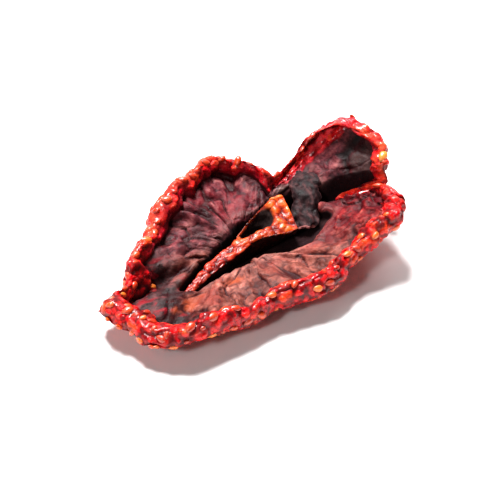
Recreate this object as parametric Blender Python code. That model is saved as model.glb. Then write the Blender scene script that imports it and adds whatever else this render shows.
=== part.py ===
"""Dried strawberry: one lengthwise slice, cut face up, resting on its skin.

The tip points to -X and the crown end to +X, and +Z is up. The origin is under the middle of
the slice, on the surface that it rests on. Lengths are in metres.

The slice is one closed body. Its surface is a function of two numbers: u runs once round the
outline, and v runs along the section of the slice, from the middle of the cut face out over
the rim and back under the skin. The core ridge and the seeds are joined to it.
"""

import math

import bmesh
import bpy
import numpy as np
from mathutils import Vector
from mathutils.bvhtree import BVHTree

MM = 0.001

# The slice in plan, counterclockwise from the bottom of the notch that the hull left.
OUTLINE = MM * np.array([
    (12.0, 2.9),
    (13.4, 3.6),
    (15.8, 4.3),
    (16.8, 6.0),
    (18.0, 8.8),
    (18.5, 10.9),
    (17.5, 13.1),
    (15.0, 11.6),
    (11.2, 10.3),
    (7.2, 7.5),
    (5.2, 9.2),
    (2.0, 13.1),
    (-3.2, 11.8),
    (-8.8, 8.2),
    (-13.9, 2.8),
    (-18.2, -1.2),
    (-21.5, -3.2),
    (-19.8, -7.6),
    (-16.7, -11.8),
    (-12.2, -12.6),
    (-7.1, -12.1),
    (1.1, -11.4),
    (7.4, -10.4),
    (11.6, -7.9),
    (14.1, -5.2),
    (15.5, -1.6),
    (15.5, 1.9),
    (13.2, 2.5),
])
MIDDLE = MM * np.array([-1.4, 0.2])
LEAST_TURN = math.radians(0.6) / MM
OUTLINE_SAMPLES = 1441

# Thickness and height of the slice.
NEAR_CREST = 5.2 * MM
FAR_CREST = 6.5 * MM
CROWN_CREST = 5.2 * MM
TIP_CREST = 3.7 * MM
NOTCH_CREST = 1.9 * MM
NEAR_LIP = 3.1 * MM
FAR_LIP = 3.6 * MM
NOTCH_LIP = 1.35 * MM
HOLLOW_FLOOR = 1.1 * MM
THINNEST = 0.9 * MM
WAIST_AT = 8.6 * MM
WAIST_SPREAD = 2.8 * MM
WAIST_DIP = 1.8 * MM
WALL_SHARE = 0.5
BELLY_POWER = 2.4
BELLY_FLAT = 0.22 * MM

# The rim, a rounded bead. Its points are given in bead radii: two out from its inner edge and two
# out from the outline, each with a height above the crest.
RIM_RADIUS = 1.15 * MM
TIP_RIM_RADIUS = 1.9 * MM
CROWN_RIM_RADIUS = 0.74 * MM
NOTCH_RIM_RADIUS = 0.45 * MM
RIM_WIDTH = 2.1
RIM_INNER_POINTS = ((-0.05, -0.75), (0.75, 0.30))
RIM_OUTER_POINTS = ((-0.30, -0.05), (0.12, -1.15))
NEAR_RIM_DEPTH = 0.85
FAR_RIM_DEPTH = 1.25

# The flesh from the hollow to the rim: shares of the way out and of the way up. And the skin under
# the slice: shares of the way out, where the last stretch is flat.
FLESH_OUT = (0.22, 0.48, 0.76)
FLESH_UP = (0.16, 0.34, 0.66)
SKIN_OUT = (0.955, 0.84, 0.66, 0.44)
FLAT_OUT = 0.22

# The hollow round the core: half a lens towards the tip, and towards the crown a fuller shape that turns
# to the notch. It reaches so far each way from the middle, and is wider by so much at the crown end.
CORE_ANGLE = math.radians(21.0)
HOLLOW_TO_TIP = 10.8 * MM
HOLLOW_TO_CROWN = 10.6 * MM
HOLLOW_TO_FAR = 1.7 * MM
HOLLOW_TO_NEAR = 2.3 * MM
HOLLOW_WIDENS_FAR = 1.3 * MM
HOLLOW_WIDENS_NEAR = 2.8 * MM
HOLLOW_TURNS = math.radians(8.0)
TIP_HOLLOW_POWER = 1.55
CROWN_HOLLOW_POWER = 2.9
HOLLOW_WAVE = 0.10
LEAST_FLESH = 1.4 * MM
NOTCH_FLESH = 0.6 * MM
NOTCH_ANGLE = math.radians(11.3)
NOTCH_SPREAD = math.radians(4.4)

# How the slice warped as it dried.
OUTLINE_WAVE = 0.42 * MM
CREST_WAVE = 0.55 * MM
RADIUS_WAVE = 0.16
TEAR = 0.42 * MM
FOLD = 0.42 * MM
FOLDS_ROUND = 7.5
FOLD_LENGTH = 7.0 * MM
SKIN_FOLD = 0.38 * MM
SKIN_FOLD_SIZE = MM * np.array([9.0, 3.0, 3.0])
WOBBLE = 0.38 * MM
WOBBLE_SIZE = 4.6 * MM
CROWN_LIFT = 0.0150 / MM
CROWN_LIFT_FROM = 1.0 * MM
TIP_LIFT = 0.022 / MM
TIP_LIFT_FROM = 13.5 * MM
CROWN_BEND = 0.090 / MM
FAR_CROWN_BEND = 0.050 / MM
BEND_EASES = (5.0 * MM, 12.0 * MM)
BEND_FROM = 8.0 * MM
CURL_HINGE = MM * np.array([9.2, 2.8])
CURL_TOWARDS = math.radians(45.0)
CURL_RADIUS = 8.9 * MM
CURL_HEIGHT = 2.6 * MM

# The core ridge: points along its top, with its half width at each. It ends in a tilted paddle, higher
# on the far side. The cup is given in half widths, on the far side too.
CORE_LINE = MM * np.array([
    (-11.6, -4.1, 2.2),
    (-8.6, -2.9, 2.8),
    (-5.0, -1.5, 3.2),
    (-1.6, -0.2, 3.6),
    (1.3, 0.8, 4.0),
    (3.4, 1.3, 4.2),
    (4.9, 1.2, 4.2),
])
CORE_HALF_WIDTHS = MM * np.array([0.40, 0.65, 0.80, 1.00, 1.65, 2.15, 2.05])
CORE_FOOT = 0.60 * MM
CORE_ROUND = 0.32 * MM
CORE_TAPER = 0.45
CUP_DEPTH = 2.2 * MM
CUP_ASIDE = 0.46
CUP_SPREAD = 0.44
CUP_FROM = (0.48, 0.60)
CUP_TO = (0.68, 0.86)
PADDLE_TILT = 0.42
PADDLE_FROM = (0.55, 0.85)

# The seeds: low drops of two layers, each with a height and a share of the seed's size.
SEED_LENGTH = 1.30 * MM
SEED_WIDTH = 0.90 * MM
SEED_LAYERS = ((-0.20 * MM, 0.94), (0.24 * MM, 0.66))
SEED_TOP = 0.36 * MM
SEED_ROOT = 0.40 * MM
SEED_PITCH = 2.62 * MM
SEED_TRIALS = 4000
SEED_DRAW = 11
SEED_TOWARDS = Vector((-1.0, -0.15, 0.0))
SEED_PROUD_FROM = 0.55 * MM
FLAT_CLEAR = 0.28 * MM
NOTCH_CLEAR = 1.6

# Mesh divisions.
ROUND_DIVISIONS = 108
CROWN_DENSITY = 0.35
SECTION_DIVISIONS = 31
CORE_DIVISIONS = 19
CORE_SIDES = 14
SEED_SIDES = 5

# Shares of v: the flesh, from the hollow's lip to the foot of the rim, the skin from the rim's
# inner foot, the bottom of the outer wall, and where the skin's folds end.
LAST_CONTROL = 20
FLESH_FROM = (4.0 / LAST_CONTROL, 5.5 / LAST_CONTROL)
FLESH_TO = (8.5 / LAST_CONTROL, 10.5 / LAST_CONTROL)
SKIN_FROM = 10.2 / LAST_CONTROL
WALL_BOTTOM = 16.0 / LAST_CONTROL
SKIN_FOLDS_TO = (0.86, 0.96)

SKIN_COLOUR = (0.36, 0.022, 0.018, 1.0)
SKIN_ROUGHNESS = 0.42


def smooth_step(x, low, high):
    """0 below low, 1 above high, and a smooth cubic between them."""
    t = np.clip((x - low) / (high - low), 0.0, 1.0)
    return t * t * (3.0 - 2.0 * t)


def mix(a, b, share):
    return a + (b - a) * share


def lattice_value(cell, seed):
    """A fixed number from -1 to 1 for each whole-number lattice point."""
    mixed = cell[..., 0] * 73856093 ^ cell[..., 1] * 19349663 ^ cell[..., 2] * 83492791
    mixed = (mixed ^ (seed * 2654435761)) & 0xFFFFFFFF
    mixed = ((mixed ^ (mixed >> 15)) * 2246822519) & 0xFFFFFFFF
    mixed = ((mixed ^ (mixed >> 13)) * 3266489917) & 0xFFFFFFFF
    mixed = mixed ^ (mixed >> 16)
    return mixed / 0xFFFFFFFF * 2.0 - 1.0


def noise(points, seed):
    """Smooth noise from -1 to 1: lattice values blended along each of the three directions."""
    cell = np.floor(points).astype(np.int64)
    t = points - cell
    t = t * t * t * (t * (t * 6.0 - 15.0) + 10.0)
    total = np.zeros(points.shape[:-1])
    for corner in np.ndindex(2, 2, 2):
        share = np.prod(np.where(corner, t, 1.0 - t), axis=-1)
        total += share * lattice_value(cell + np.array(corner), seed)
    return total


def ring_noise(u, waves, seed):
    """Noise that closes on itself after one turn of u, with about that many waves."""
    turn = 2.0 * np.pi * u
    radius = waves / 3.6
    return noise(np.stack([radius * np.cos(turn), radius * np.sin(turn), 0.0 * u], -1), seed)


def catmull_rom(a, b, c, d, f):
    """Curve from b to c as f runs from 0 to 1, with the points before and after them."""
    return 0.5 * (2 * b + (c - a) * f + (2 * a - 5 * b + 4 * c - d) * f**2 + (3 * b - a - 3 * c + d) * f**3)


def closed_spline(points, t):
    """Smooth curve through a closed list of points; t counts points."""
    i = np.floor(t).astype(int)
    near = [points[(i + k) % len(points)] for k in (-1, 0, 1, 2)]
    return catmull_rom(*near, (t - i)[:, None])


def open_spline(points, t):
    """Smooth curve through an open list of points or numbers; t runs from 0 to 1."""
    last = len(points) - 1
    i = np.minimum(np.floor(t * last).astype(int), last - 1)
    f = t * last - i
    near = [points[np.clip(i + k, 0, last)] for k in (-1, 0, 1, 2)]
    return catmull_rom(*near, f[:, None] if points.ndim > 1 else f)


def outline_at(u):
    """Point of the outline at the share u of its length. Seen from the middle, the outline always turns
    on by at least a little, so that no two sections cross."""
    arm = closed_spline(OUTLINE, np.linspace(0.0, len(OUTLINE), OUTLINE_SAMPLES)) - MIDDLE
    run = np.concatenate([[0.0], np.cumsum(np.linalg.norm(np.diff(arm, axis=0), axis=1))])
    angle = np.unwrap(np.arctan2(arm[:, 1], arm[:, 0]))
    angle = np.maximum.accumulate(angle - LEAST_TURN * run) + LEAST_TURN * run
    place = (u % 1.0) * run[-1]
    angle = np.interp(place, run, angle)
    reach = np.interp(place, run, np.linalg.norm(arm, axis=1))
    return MIDDLE + reach[:, None] * np.stack([np.cos(angle), np.sin(angle)], -1)


def zones(rim, angle):
    """How far each section belongs to the far side, the tip, the crown end and the notch, 0 to 1."""
    far = smooth_step(rim[:, 1], -9.0 * MM, 11.0 * MM)
    tip = smooth_step(-rim[:, 0], 13.0 * MM, 20.0 * MM)
    crown = smooth_step(rim[:, 0], 9.0 * MM, 16.0 * MM)
    notch = np.exp(-(np.abs((angle - NOTCH_ANGLE) / NOTCH_SPREAD) ** 4))
    return far, tip, crown, notch


def crest_at(u, rim, far, tip, crown, notch):
    """Height of the rim's crest."""
    crest = mix(mix(mix(NEAR_CREST, FAR_CREST, far), TIP_CREST, tip), CROWN_CREST, crown)
    crest = crest + CREST_WAVE * (ring_noise(u, 16, 7) + 0.5 * ring_noise(u, 38, 8))
    waist = np.exp(-(((rim[:, 0] - WAIST_AT) / WAIST_SPREAD) ** 2)) * far
    return mix(crest - WAIST_DIP * waist, NOTCH_CREST, notch)


def hollow_at(u, angle):
    """Distance from the middle to the hollow's edge, a superellipse whose power grows towards the crown."""
    crownward = smooth_step(np.cos(angle - CORE_ANGLE), 0.0, 0.9)
    from_axis = angle - CORE_ANGLE + HOLLOW_TURNS * crownward
    along = np.cos(from_axis)
    across = np.sin(from_axis)
    half_length = np.where(along > 0, HOLLOW_TO_CROWN, HOLLOW_TO_TIP)
    half_width = np.where(across > 0, HOLLOW_TO_FAR, HOLLOW_TO_NEAR)
    half_width = half_width + np.where(across > 0, HOLLOW_WIDENS_FAR, HOLLOW_WIDENS_NEAR) * crownward
    power = mix(TIP_HOLLOW_POWER, CROWN_HOLLOW_POWER, crownward)
    powers = np.abs(along / half_length) ** power + np.abs(across / half_width) ** power
    return powers ** (-1.0 / power) * (1 + HOLLOW_WAVE * ring_noise(u, 30, 9))


def section(u):
    """The section at u: its direction in plan, and the distances and heights of its control points."""
    rim = outline_at(u)
    arm = rim - MIDDLE
    reach = np.linalg.norm(arm, axis=1)
    direction = arm / reach[:, None]
    angle = np.arctan2(direction[:, 1], direction[:, 0])
    far, tip, crown, notch = zones(rim, angle)

    reach = reach + OUTLINE_WAVE * (ring_noise(u, 22, 3) + 0.6 * ring_noise(u, 44, 4)) * (1 - notch)
    reach = reach + TEAR * crown * ring_noise(u, 70, 5)
    radius = mix(mix(RIM_RADIUS, TIP_RIM_RADIUS, tip), CROWN_RIM_RADIUS, crown)
    radius = mix(radius * (1 + RADIUS_WAVE * ring_noise(u, 40, 6)), NOTCH_RIM_RADIUS, notch)
    crest = crest_at(u, rim, far, tip, crown, notch)
    lip = mix(mix(NEAR_LIP, FAR_LIP, far), NOTCH_LIP, notch)
    foot = crest - radius * mix(NEAR_RIM_DEPTH, FAR_RIM_DEPTH, far)
    inner = reach - RIM_WIDTH * radius
    hollow = np.minimum(hollow_at(u, angle), inner - mix(LEAST_FLESH, NOTCH_FLESH, notch))
    wall = WALL_SHARE * crest

    def belly(share):
        return wall * share**BELLY_POWER

    def over_belly(distance, height):
        return np.maximum(height, belly(distance / reach) + THINNEST)

    floor = np.full_like(u, HOLLOW_FLOOR)
    controls = [
        (0.0 * u, floor),
        (0.45 * hollow, floor),
        (0.97 * hollow, over_belly(hollow, floor)),
        (mix(hollow, inner, 0.02), over_belly(hollow, mix(floor, lip, 0.45))),
        (mix(hollow, inner, 0.04), over_belly(hollow, lip)),
    ]
    for out, up in zip(FLESH_OUT, FLESH_UP):
        controls.append((mix(hollow, inner, out), mix(lip, foot, up)))
    controls.append((inner - 0.10 * MM, foot - 0.10 * radius))
    controls.append((inner + 0.20 * radius, foot - 0.25 * radius))
    for out, up in RIM_INNER_POINTS:
        controls.append((inner + out * radius, crest + up * radius))
    for out, up in RIM_OUTER_POINTS:
        controls.append((reach + out * radius, crest + up * radius))
    shoulder = crest + RIM_OUTER_POINTS[-1][1] * radius
    controls.append((reach - 0.02 * radius, mix(wall, shoulder, 0.45)))
    controls.append((SKIN_OUT[0] * reach, mix(wall, belly(SKIN_OUT[0]), 0.6)))
    for out in SKIN_OUT[1:]:
        controls.append((out * reach, belly(out)))
    controls.append((FLAT_OUT * reach, 0.0 * u))
    controls.append((0.0 * u, 0.0 * u))
    return direction, np.stack([c[0] for c in controls], 1), np.stack([c[1] for c in controls], 1)


def along_section(controls, v, odd):
    """Cubic B-spline through rows of control values at v. Past both ends the row is mirrored, so that
    opposite sections meet smoothly in the middle of the slice; distances change sign there."""
    last = controls.shape[1] - 1
    sign = -1.0 if odd else 1.0
    before, after = sign * controls[:, 1:2], sign * controls[:, -2:-1]
    controls = np.concatenate([before, controls, after], axis=1)
    i = np.minimum(np.floor(v * last).astype(int), last - 1)
    f = v * last - i
    weights = ((1 - f) ** 3, 3 * f**3 - 6 * f**2 + 4, -3 * f**3 + 3 * f**2 + 3 * f + 1, f**3)
    rows = np.arange(len(v))
    return sum(w * controls[rows, i + k] for k, w in enumerate(weights)) / 6.0


def curl(points):
    """Bends what lies past the hinge line upwards, round a cylinder: the far shoulder of the crown."""
    towards = np.array([math.cos(CURL_TOWARDS), math.sin(CURL_TOWARDS)])
    past = (points[:, :2] - CURL_HINGE) @ towards
    turn = np.maximum(past, 0.0) / CURL_RADIUS
    radius = CURL_RADIUS + CURL_HEIGHT - points[:, 2]
    curled = points.copy()
    curled[:, :2] += np.where(past > 0, radius * np.sin(turn) - past, 0.0)[:, None] * towards
    curled[:, 2] += radius * (1.0 - np.cos(turn))
    return curled


def warped(points):
    """The warping of drying: a slow wobble, the bend and curl of the crown end, the lift of both ends."""
    scaled = points / WOBBLE_SIZE
    bent = points + WOBBLE * np.stack([noise(scaled, 21), noise(scaled + 7.3, 22), noise(scaled - 5.1, 23)], -1)
    bend = mix(CROWN_BEND, FAR_CROWN_BEND, smooth_step(bent[:, 1], *BEND_EASES))
    bent[:, 1] -= bend * np.maximum(bent[:, 0] - BEND_FROM, 0.0) ** 2
    bent = curl(bent)
    bent[:, 2] += CROWN_LIFT * np.maximum(bent[:, 0] - CROWN_LIFT_FROM, 0.0) ** 2
    bent[:, 2] += TIP_LIFT * np.maximum(-bent[:, 0] - TIP_LIFT_FROM, 0.0) ** 2
    return bent


def slice_surface(u, v):
    """Points of the slice's surface: distance and height along the section at u, folds, then warping."""
    direction, distances, heights = section(u)
    distance = along_section(distances, v, odd=True)
    height = along_section(heights, v, odd=False)
    on_flesh = smooth_step(v, *FLESH_FROM) * (1 - smooth_step(v, *FLESH_TO))
    radial = np.concatenate([direction * FOLDS_ROUND, (distance / FOLD_LENGTH)[:, None]], axis=1)
    height = height + FOLD * on_flesh * noise(radial, 31)
    plan = MIDDLE + distance[:, None] * direction
    on_skin = smooth_step(v, SKIN_FROM, SKIN_FROM + 0.1) * (1 - smooth_step(v, *SKIN_FOLDS_TO))
    lengthwise = np.concatenate([plan, height[:, None]], axis=1) / SKIN_FOLD_SIZE
    height = height + SKIN_FOLD * on_skin * noise(lengthwise, 32)
    points = warped(np.concatenate([plan, height[:, None]], axis=1))
    points[:, 2] = np.maximum(points[:, 2] - BELLY_FLAT, 0.0)
    return points


def mesh_from(name, points, faces):
    mesh = bpy.data.meshes.new(name)
    mesh.from_pydata([tuple(p) for p in points], [], faces)
    mesh.validate()
    obj = bpy.data.objects.new(name, mesh)
    bpy.context.scene.collection.objects.link(obj)
    return obj


def split(a, b, c, d, points):
    """The two triangles of a four-sided face, split along its shorter diagonal."""
    across = np.linalg.norm(points[a] - points[c]), np.linalg.norm(points[b] - points[d])
    return [(a, b, c), (a, c, d)] if across[0] <= across[1] else [(a, b, d), (b, c, d)]


def closed_grid(points, first_pole, last_pole):
    """Points and faces of a closed surface: rings of points, with a pole at each end."""
    rings, sides = points.shape[:2]
    flat = np.concatenate([points.reshape(-1, 3), [first_pole, last_pole]])
    first, last = rings * sides, rings * sides + 1
    faces = []
    for j in range(sides):
        k = (j + 1) % sides
        faces.append((first, j, k))
        faces.append((last, (rings - 1) * sides + k, (rings - 1) * sides + j))
        for i in range(rings - 1):
            a, b = i * sides + j, i * sides + k
            faces += split(a, a + sides, b + sides, b, flat)
    return flat, faces


def make_slice_body():
    """The whole slice without its core ridge and seeds. Its divisions are closer at the crown end."""
    turn = 2.0 * np.pi * np.arange(ROUND_DIVISIONS) / ROUND_DIVISIONS
    u = (turn - CROWN_DENSITY * np.sin(turn)) / (2.0 * np.pi)
    v = np.linspace(0.0, 1.0, SECTION_DIVISIONS + 1)
    rings = np.stack([slice_surface(u, np.full_like(u, share)) for share in v])
    points, faces = closed_grid(rings[1:-1], rings[0].mean(0), rings[-1].mean(0))
    return mesh_from("dried_strawberry", points, faces)


def core_section(t, turn):
    """Points of the core ridge: t runs along it, turn round its section, a cupped top over a deep keel."""
    top = open_spline(CORE_LINE, t)
    half = open_spline(CORE_HALF_WIDTHS, t)
    before, after = np.maximum(t - 0.01, 0.0), np.minimum(t + 0.01, 1.0)
    ahead = open_spline(CORE_LINE, after) - open_spline(CORE_LINE, before)
    ahead = ahead[:, :2] / np.linalg.norm(ahead[:, :2], axis=1)[:, None]
    side = np.stack([-ahead[:, 1], ahead[:, 0]], -1)
    spread = np.cos(turn)
    rise = np.sin(turn)
    cupped = smooth_step(t, *CUP_FROM) * (1 - smooth_step(t, *CUP_TO))
    depth = np.where(rise > 0, CORE_ROUND, top[:, 2] - CORE_FOOT)
    keel = np.where(rise > 0, 1.0, 1.0 - CORE_TAPER * rise**2)
    cup = CUP_DEPTH * cupped * np.exp(-(((spread - CUP_ASIDE) / CUP_SPREAD) ** 2)) * (rise > 0.2)
    tilt = PADDLE_TILT * smooth_step(t, *PADDLE_FROM) * half * spread * smooth_step(rise, -0.5, 0.5)
    height = top[:, 2] + rise * depth - cup + tilt
    plan = top[:, :2] + side * (half * spread * keel)[:, None]
    return warped(np.concatenate([plan, height[:, None]], axis=1)) - [0.0, 0.0, BELLY_FLAT]


def make_core_ridge():
    """The paler core that stands up in the hollow, rooted in the flesh at the tip end."""
    turn = 2.0 * np.pi * np.arange(CORE_SIDES) / CORE_SIDES
    rings = np.stack([core_section(np.full_like(turn, t), turn) for t in np.linspace(0, 1, CORE_DIVISIONS)])
    points, faces = closed_grid(rings, rings[0].mean(0), rings[-1].mean(0))
    return mesh_from("core_ridge", points, faces)


def seed_places():
    """Places of the seeds: random trials all over the skin, each kept if it is clear of the seeds kept
    before it, of the notch and of the flat spot under the slice."""
    draw = np.random.default_rng(SEED_DRAW)
    u = draw.random(SEED_TRIALS)
    v = SKIN_FROM + 0.015 + (0.995 - SKIN_FROM) * draw.random(SEED_TRIALS) ** 0.75
    v = np.minimum(v, 0.995)
    points = slice_surface(u, v)
    direction, _, _ = section(u)
    angle = np.arctan2(direction[:, 1], direction[:, 0])
    clear = points[:, 2] > np.where(v > WALL_BOTTOM, FLAT_CLEAR, 0.0)
    clear &= np.abs(angle - NOTCH_ANGLE) > NOTCH_CLEAR * NOTCH_SPREAD
    kept = []
    for i in np.flatnonzero(clear):
        if not kept or np.linalg.norm(points[kept] - points[i], axis=1).min() > SEED_PITCH:
            kept.append(i)
    return points[kept]


def seed_frames(body, places):
    """Centre, direction towards the tip, sideways direction and outward normal of each seed, on the
    nearest facet of the body."""
    tree = BVHTree.FromPolygons([p.co for p in body.data.vertices], [p.vertices for p in body.data.polygons])
    for place in places:
        centre, outward, _, _ = tree.find_nearest(Vector(place))
        to_tip = SEED_TOWARDS - outward * outward.dot(SEED_TOWARDS)
        to_tip.normalize()
        yield np.array(centre), np.array(to_tip), np.array(outward.cross(to_tip)), np.array(outward)


def make_seed(name, centre, ahead, side, outward):
    """One seed: a low drop, pointed towards the tip of the fruit, with its root sunk in the skin. Close
    to the surface that the slice rests on, it is pressed nearly flush."""
    proud = min(1.0, centre[2] / SEED_PROUD_FROM)
    turn = 2.0 * np.pi * np.arange(SEED_SIDES)[:, None] / SEED_SIDES
    drop = 0.5 * SEED_LENGTH * np.cos(turn) * ahead + 0.5 * SEED_WIDTH * np.sin(turn) * side
    heights = [height * proud if height > 0 else height for height, _ in SEED_LAYERS]
    layers = np.stack([centre + h * outward + girth * drop for h, (_, girth) in zip(heights, SEED_LAYERS)])
    points, faces = closed_grid(layers, centre - SEED_ROOT * outward, centre + proud * SEED_TOP * outward)
    return mesh_from(name, points, faces)


def face_outwards(obj):
    shape = bmesh.new()
    shape.from_mesh(obj.data)
    bmesh.ops.recalc_face_normals(shape, faces=shape.faces)
    shape.to_mesh(obj.data)
    shape.free()


def join_all(body, others):
    """Joins the others to the body in one solid, and removes them."""
    group = bpy.data.collections.new("joined")
    bpy.context.scene.collection.children.link(group)
    for obj in others:
        bpy.context.scene.collection.objects.unlink(obj)
        group.objects.link(obj)
    union = body.modifiers.new("union", "BOOLEAN")
    union.operation = "UNION"
    union.operand_type = "COLLECTION"
    union.collection = group
    union.solver = "EXACT"
    bpy.context.view_layer.objects.active = body
    bpy.ops.object.modifier_apply(modifier=union.name)
    for obj in others:
        bpy.data.objects.remove(obj)
    bpy.data.collections.remove(group)


def centre_over_base(obj):
    """Moves the mesh in plan so that the origin is under the middle of its box."""
    points = np.array([tuple(v.co) for v in obj.data.vertices])
    middle = (points.min(0) + points.max(0)) / 2
    shift = Vector((-middle[0], -middle[1], 0.0))
    for vertex in obj.data.vertices:
        vertex.co += shift


def skin_material():
    material = bpy.data.materials.new("dried_skin")
    material.use_nodes = True
    shader = material.node_tree.nodes["Principled BSDF"]
    shader.inputs["Base Color"].default_value = SKIN_COLOUR
    shader.inputs["Roughness"].default_value = SKIN_ROUGHNESS
    shader.inputs["Metallic"].default_value = 0.0
    return material


def clear_scene():
    for obj in list(bpy.data.objects):
        bpy.data.objects.remove(obj)


def main():
    clear_scene()
    body = make_slice_body()
    face_outwards(body)
    others = [make_core_ridge()]
    for n, frame in enumerate(seed_frames(body, seed_places())):
        others.append(make_seed(f"seed_{n:03d}", *frame))
    for obj in others:
        face_outwards(obj)
    join_all(body, others)
    centre_over_base(body)
    body.data.materials.clear()
    body.data.materials.append(skin_material())
    body.data.shade_smooth()
    body.data.set_sharp_from_angle(angle=math.radians(50.0))


main()
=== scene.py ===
"""Looks of one dried strawberry slice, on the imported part.

The slice lies on its skin with the cut face up, its tip towards -X and its crown end towards +X.
Each piece is a surface worked out with numpy. The slice, its core ridge and its seeds follow the same
form as the part's own solid, with the finer relief that drying leaves: wrinkled flesh, a rim of beaded
skin, a cupped core and seeds in their pits. A thin torn tongue of flesh at the crown end is added to
them. Lengths are in metres.
"""

import math

import bpy
import numpy as np
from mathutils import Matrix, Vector


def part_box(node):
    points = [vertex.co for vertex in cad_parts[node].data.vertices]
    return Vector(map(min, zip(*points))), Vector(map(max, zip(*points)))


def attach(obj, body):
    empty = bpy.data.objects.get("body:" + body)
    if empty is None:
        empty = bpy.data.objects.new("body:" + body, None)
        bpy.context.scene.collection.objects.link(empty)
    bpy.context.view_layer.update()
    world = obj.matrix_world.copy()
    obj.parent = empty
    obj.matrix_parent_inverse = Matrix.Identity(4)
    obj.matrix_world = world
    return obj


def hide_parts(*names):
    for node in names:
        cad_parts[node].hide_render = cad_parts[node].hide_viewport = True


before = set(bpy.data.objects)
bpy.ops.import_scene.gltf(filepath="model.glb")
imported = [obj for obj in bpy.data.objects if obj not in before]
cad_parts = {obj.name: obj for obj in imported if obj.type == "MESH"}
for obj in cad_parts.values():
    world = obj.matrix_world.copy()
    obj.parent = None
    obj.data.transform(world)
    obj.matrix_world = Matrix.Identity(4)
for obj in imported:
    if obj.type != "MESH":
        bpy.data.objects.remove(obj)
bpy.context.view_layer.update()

NODE = "dried_strawberry"
MM = 0.001

# The slice in plan, counterclockwise from the bottom of the notch that the hull left.
OUTLINE = MM * np.array([
    (12.0, 2.9),
    (13.4, 3.6),
    (15.8, 4.3),
    (16.8, 6.0),
    (18.0, 8.8),
    (18.5, 10.9),
    (17.5, 13.1),
    (15.0, 11.6),
    (11.2, 10.3),
    (7.2, 7.5),
    (5.2, 9.2),
    (2.0, 13.1),
    (-3.2, 11.8),
    (-8.8, 8.2),
    (-13.9, 2.8),
    (-18.2, -1.2),
    (-21.5, -3.2),
    (-19.8, -7.6),
    (-16.7, -11.8),
    (-12.2, -12.6),
    (-7.1, -12.1),
    (1.1, -11.4),
    (7.4, -10.4),
    (11.6, -7.9),
    (14.1, -5.2),
    (15.5, -1.6),
    (15.5, 1.9),
    (13.2, 2.5),
])
MIDDLE = MM * np.array([-1.4, 0.2])
LEAST_TURN = math.radians(0.6) / MM
OUTLINE_SAMPLES = 1441

# Thickness and height of the slice.
NEAR_CREST = 5.2 * MM
FAR_CREST = 6.5 * MM
CROWN_CREST = 5.2 * MM
TIP_CREST = 3.7 * MM
NOTCH_CREST = 1.9 * MM
NEAR_LIP = 3.1 * MM
FAR_LIP = 3.6 * MM
NOTCH_LIP = 1.35 * MM
HOLLOW_FLOOR = 1.1 * MM
THINNEST = 0.9 * MM
WAIST_AT = 8.6 * MM
WAIST_SPREAD = 2.8 * MM
WAIST_DIP = 1.8 * MM
WALL_SHARE = 0.5
BELLY_POWER = 2.4
BELLY_FLAT = 0.22 * MM

# The rim, a rounded bead. Its points are given in bead radii: two out from its inner edge and two
# out from the outline, each with a height above the crest.
RIM_RADIUS = 1.15 * MM
TIP_RIM_RADIUS = 1.9 * MM
CROWN_RIM_RADIUS = 0.74 * MM
NOTCH_RIM_RADIUS = 0.45 * MM
RIM_WIDTH = 2.1
RIM_INNER_POINTS = ((-0.05, -0.75), (0.75, 0.30))
RIM_OUTER_POINTS = ((-0.30, -0.05), (0.12, -1.15))
NEAR_RIM_DEPTH = 0.85
FAR_RIM_DEPTH = 1.25

# The flesh from the hollow to the rim: shares of the way out and of the way up. And the skin under
# the slice: shares of the way out, where the last stretch is flat.
FLESH_OUT = (0.22, 0.48, 0.76)
FLESH_UP = (0.16, 0.34, 0.66)
SKIN_OUT = (0.955, 0.84, 0.66, 0.44)
FLAT_OUT = 0.22

# The hollow round the core: half a lens towards the tip, and towards the crown a fuller shape that turns
# to the notch. It reaches so far each way from the middle, and is wider by so much at the crown end.
CORE_ANGLE = math.radians(21.0)
HOLLOW_TO_TIP = 10.8 * MM
HOLLOW_TO_CROWN = 10.6 * MM
HOLLOW_TO_FAR = 1.7 * MM
HOLLOW_TO_NEAR = 2.3 * MM
HOLLOW_WIDENS_FAR = 1.3 * MM
HOLLOW_WIDENS_NEAR = 2.8 * MM
HOLLOW_TURNS = math.radians(8.0)
TIP_HOLLOW_POWER = 1.55
CROWN_HOLLOW_POWER = 2.9
HOLLOW_WAVE = 0.10
LEAST_FLESH = 1.4 * MM
NOTCH_FLESH = 0.6 * MM
NOTCH_ANGLE = math.radians(11.3)
NOTCH_SPREAD = math.radians(4.4)

# How the slice warped as it dried.
OUTLINE_WAVE = 0.42 * MM
CREST_WAVE = 0.55 * MM
RADIUS_WAVE = 0.16
TEAR = 0.42 * MM
FOLD = 0.42 * MM
FOLDS_ROUND = 7.5
FOLD_LENGTH = 7.0 * MM
SKIN_FOLD = 0.38 * MM
SKIN_FOLD_SIZE = MM * np.array([9.0, 3.0, 3.0])
WOBBLE = 0.38 * MM
WOBBLE_SIZE = 4.6 * MM
CROWN_LIFT = 0.0150 / MM
CROWN_LIFT_FROM = 1.0 * MM
TIP_LIFT = 0.022 / MM
TIP_LIFT_FROM = 13.5 * MM
CROWN_BEND = 0.090 / MM
FAR_CROWN_BEND = 0.050 / MM
BEND_EASES = (5.0 * MM, 12.0 * MM)
BEND_FROM = 8.0 * MM
CURL_HINGE = MM * np.array([9.2, 2.8])
CURL_TOWARDS = math.radians(45.0)
CURL_RADIUS = 8.9 * MM
CURL_HEIGHT = 2.6 * MM

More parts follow.
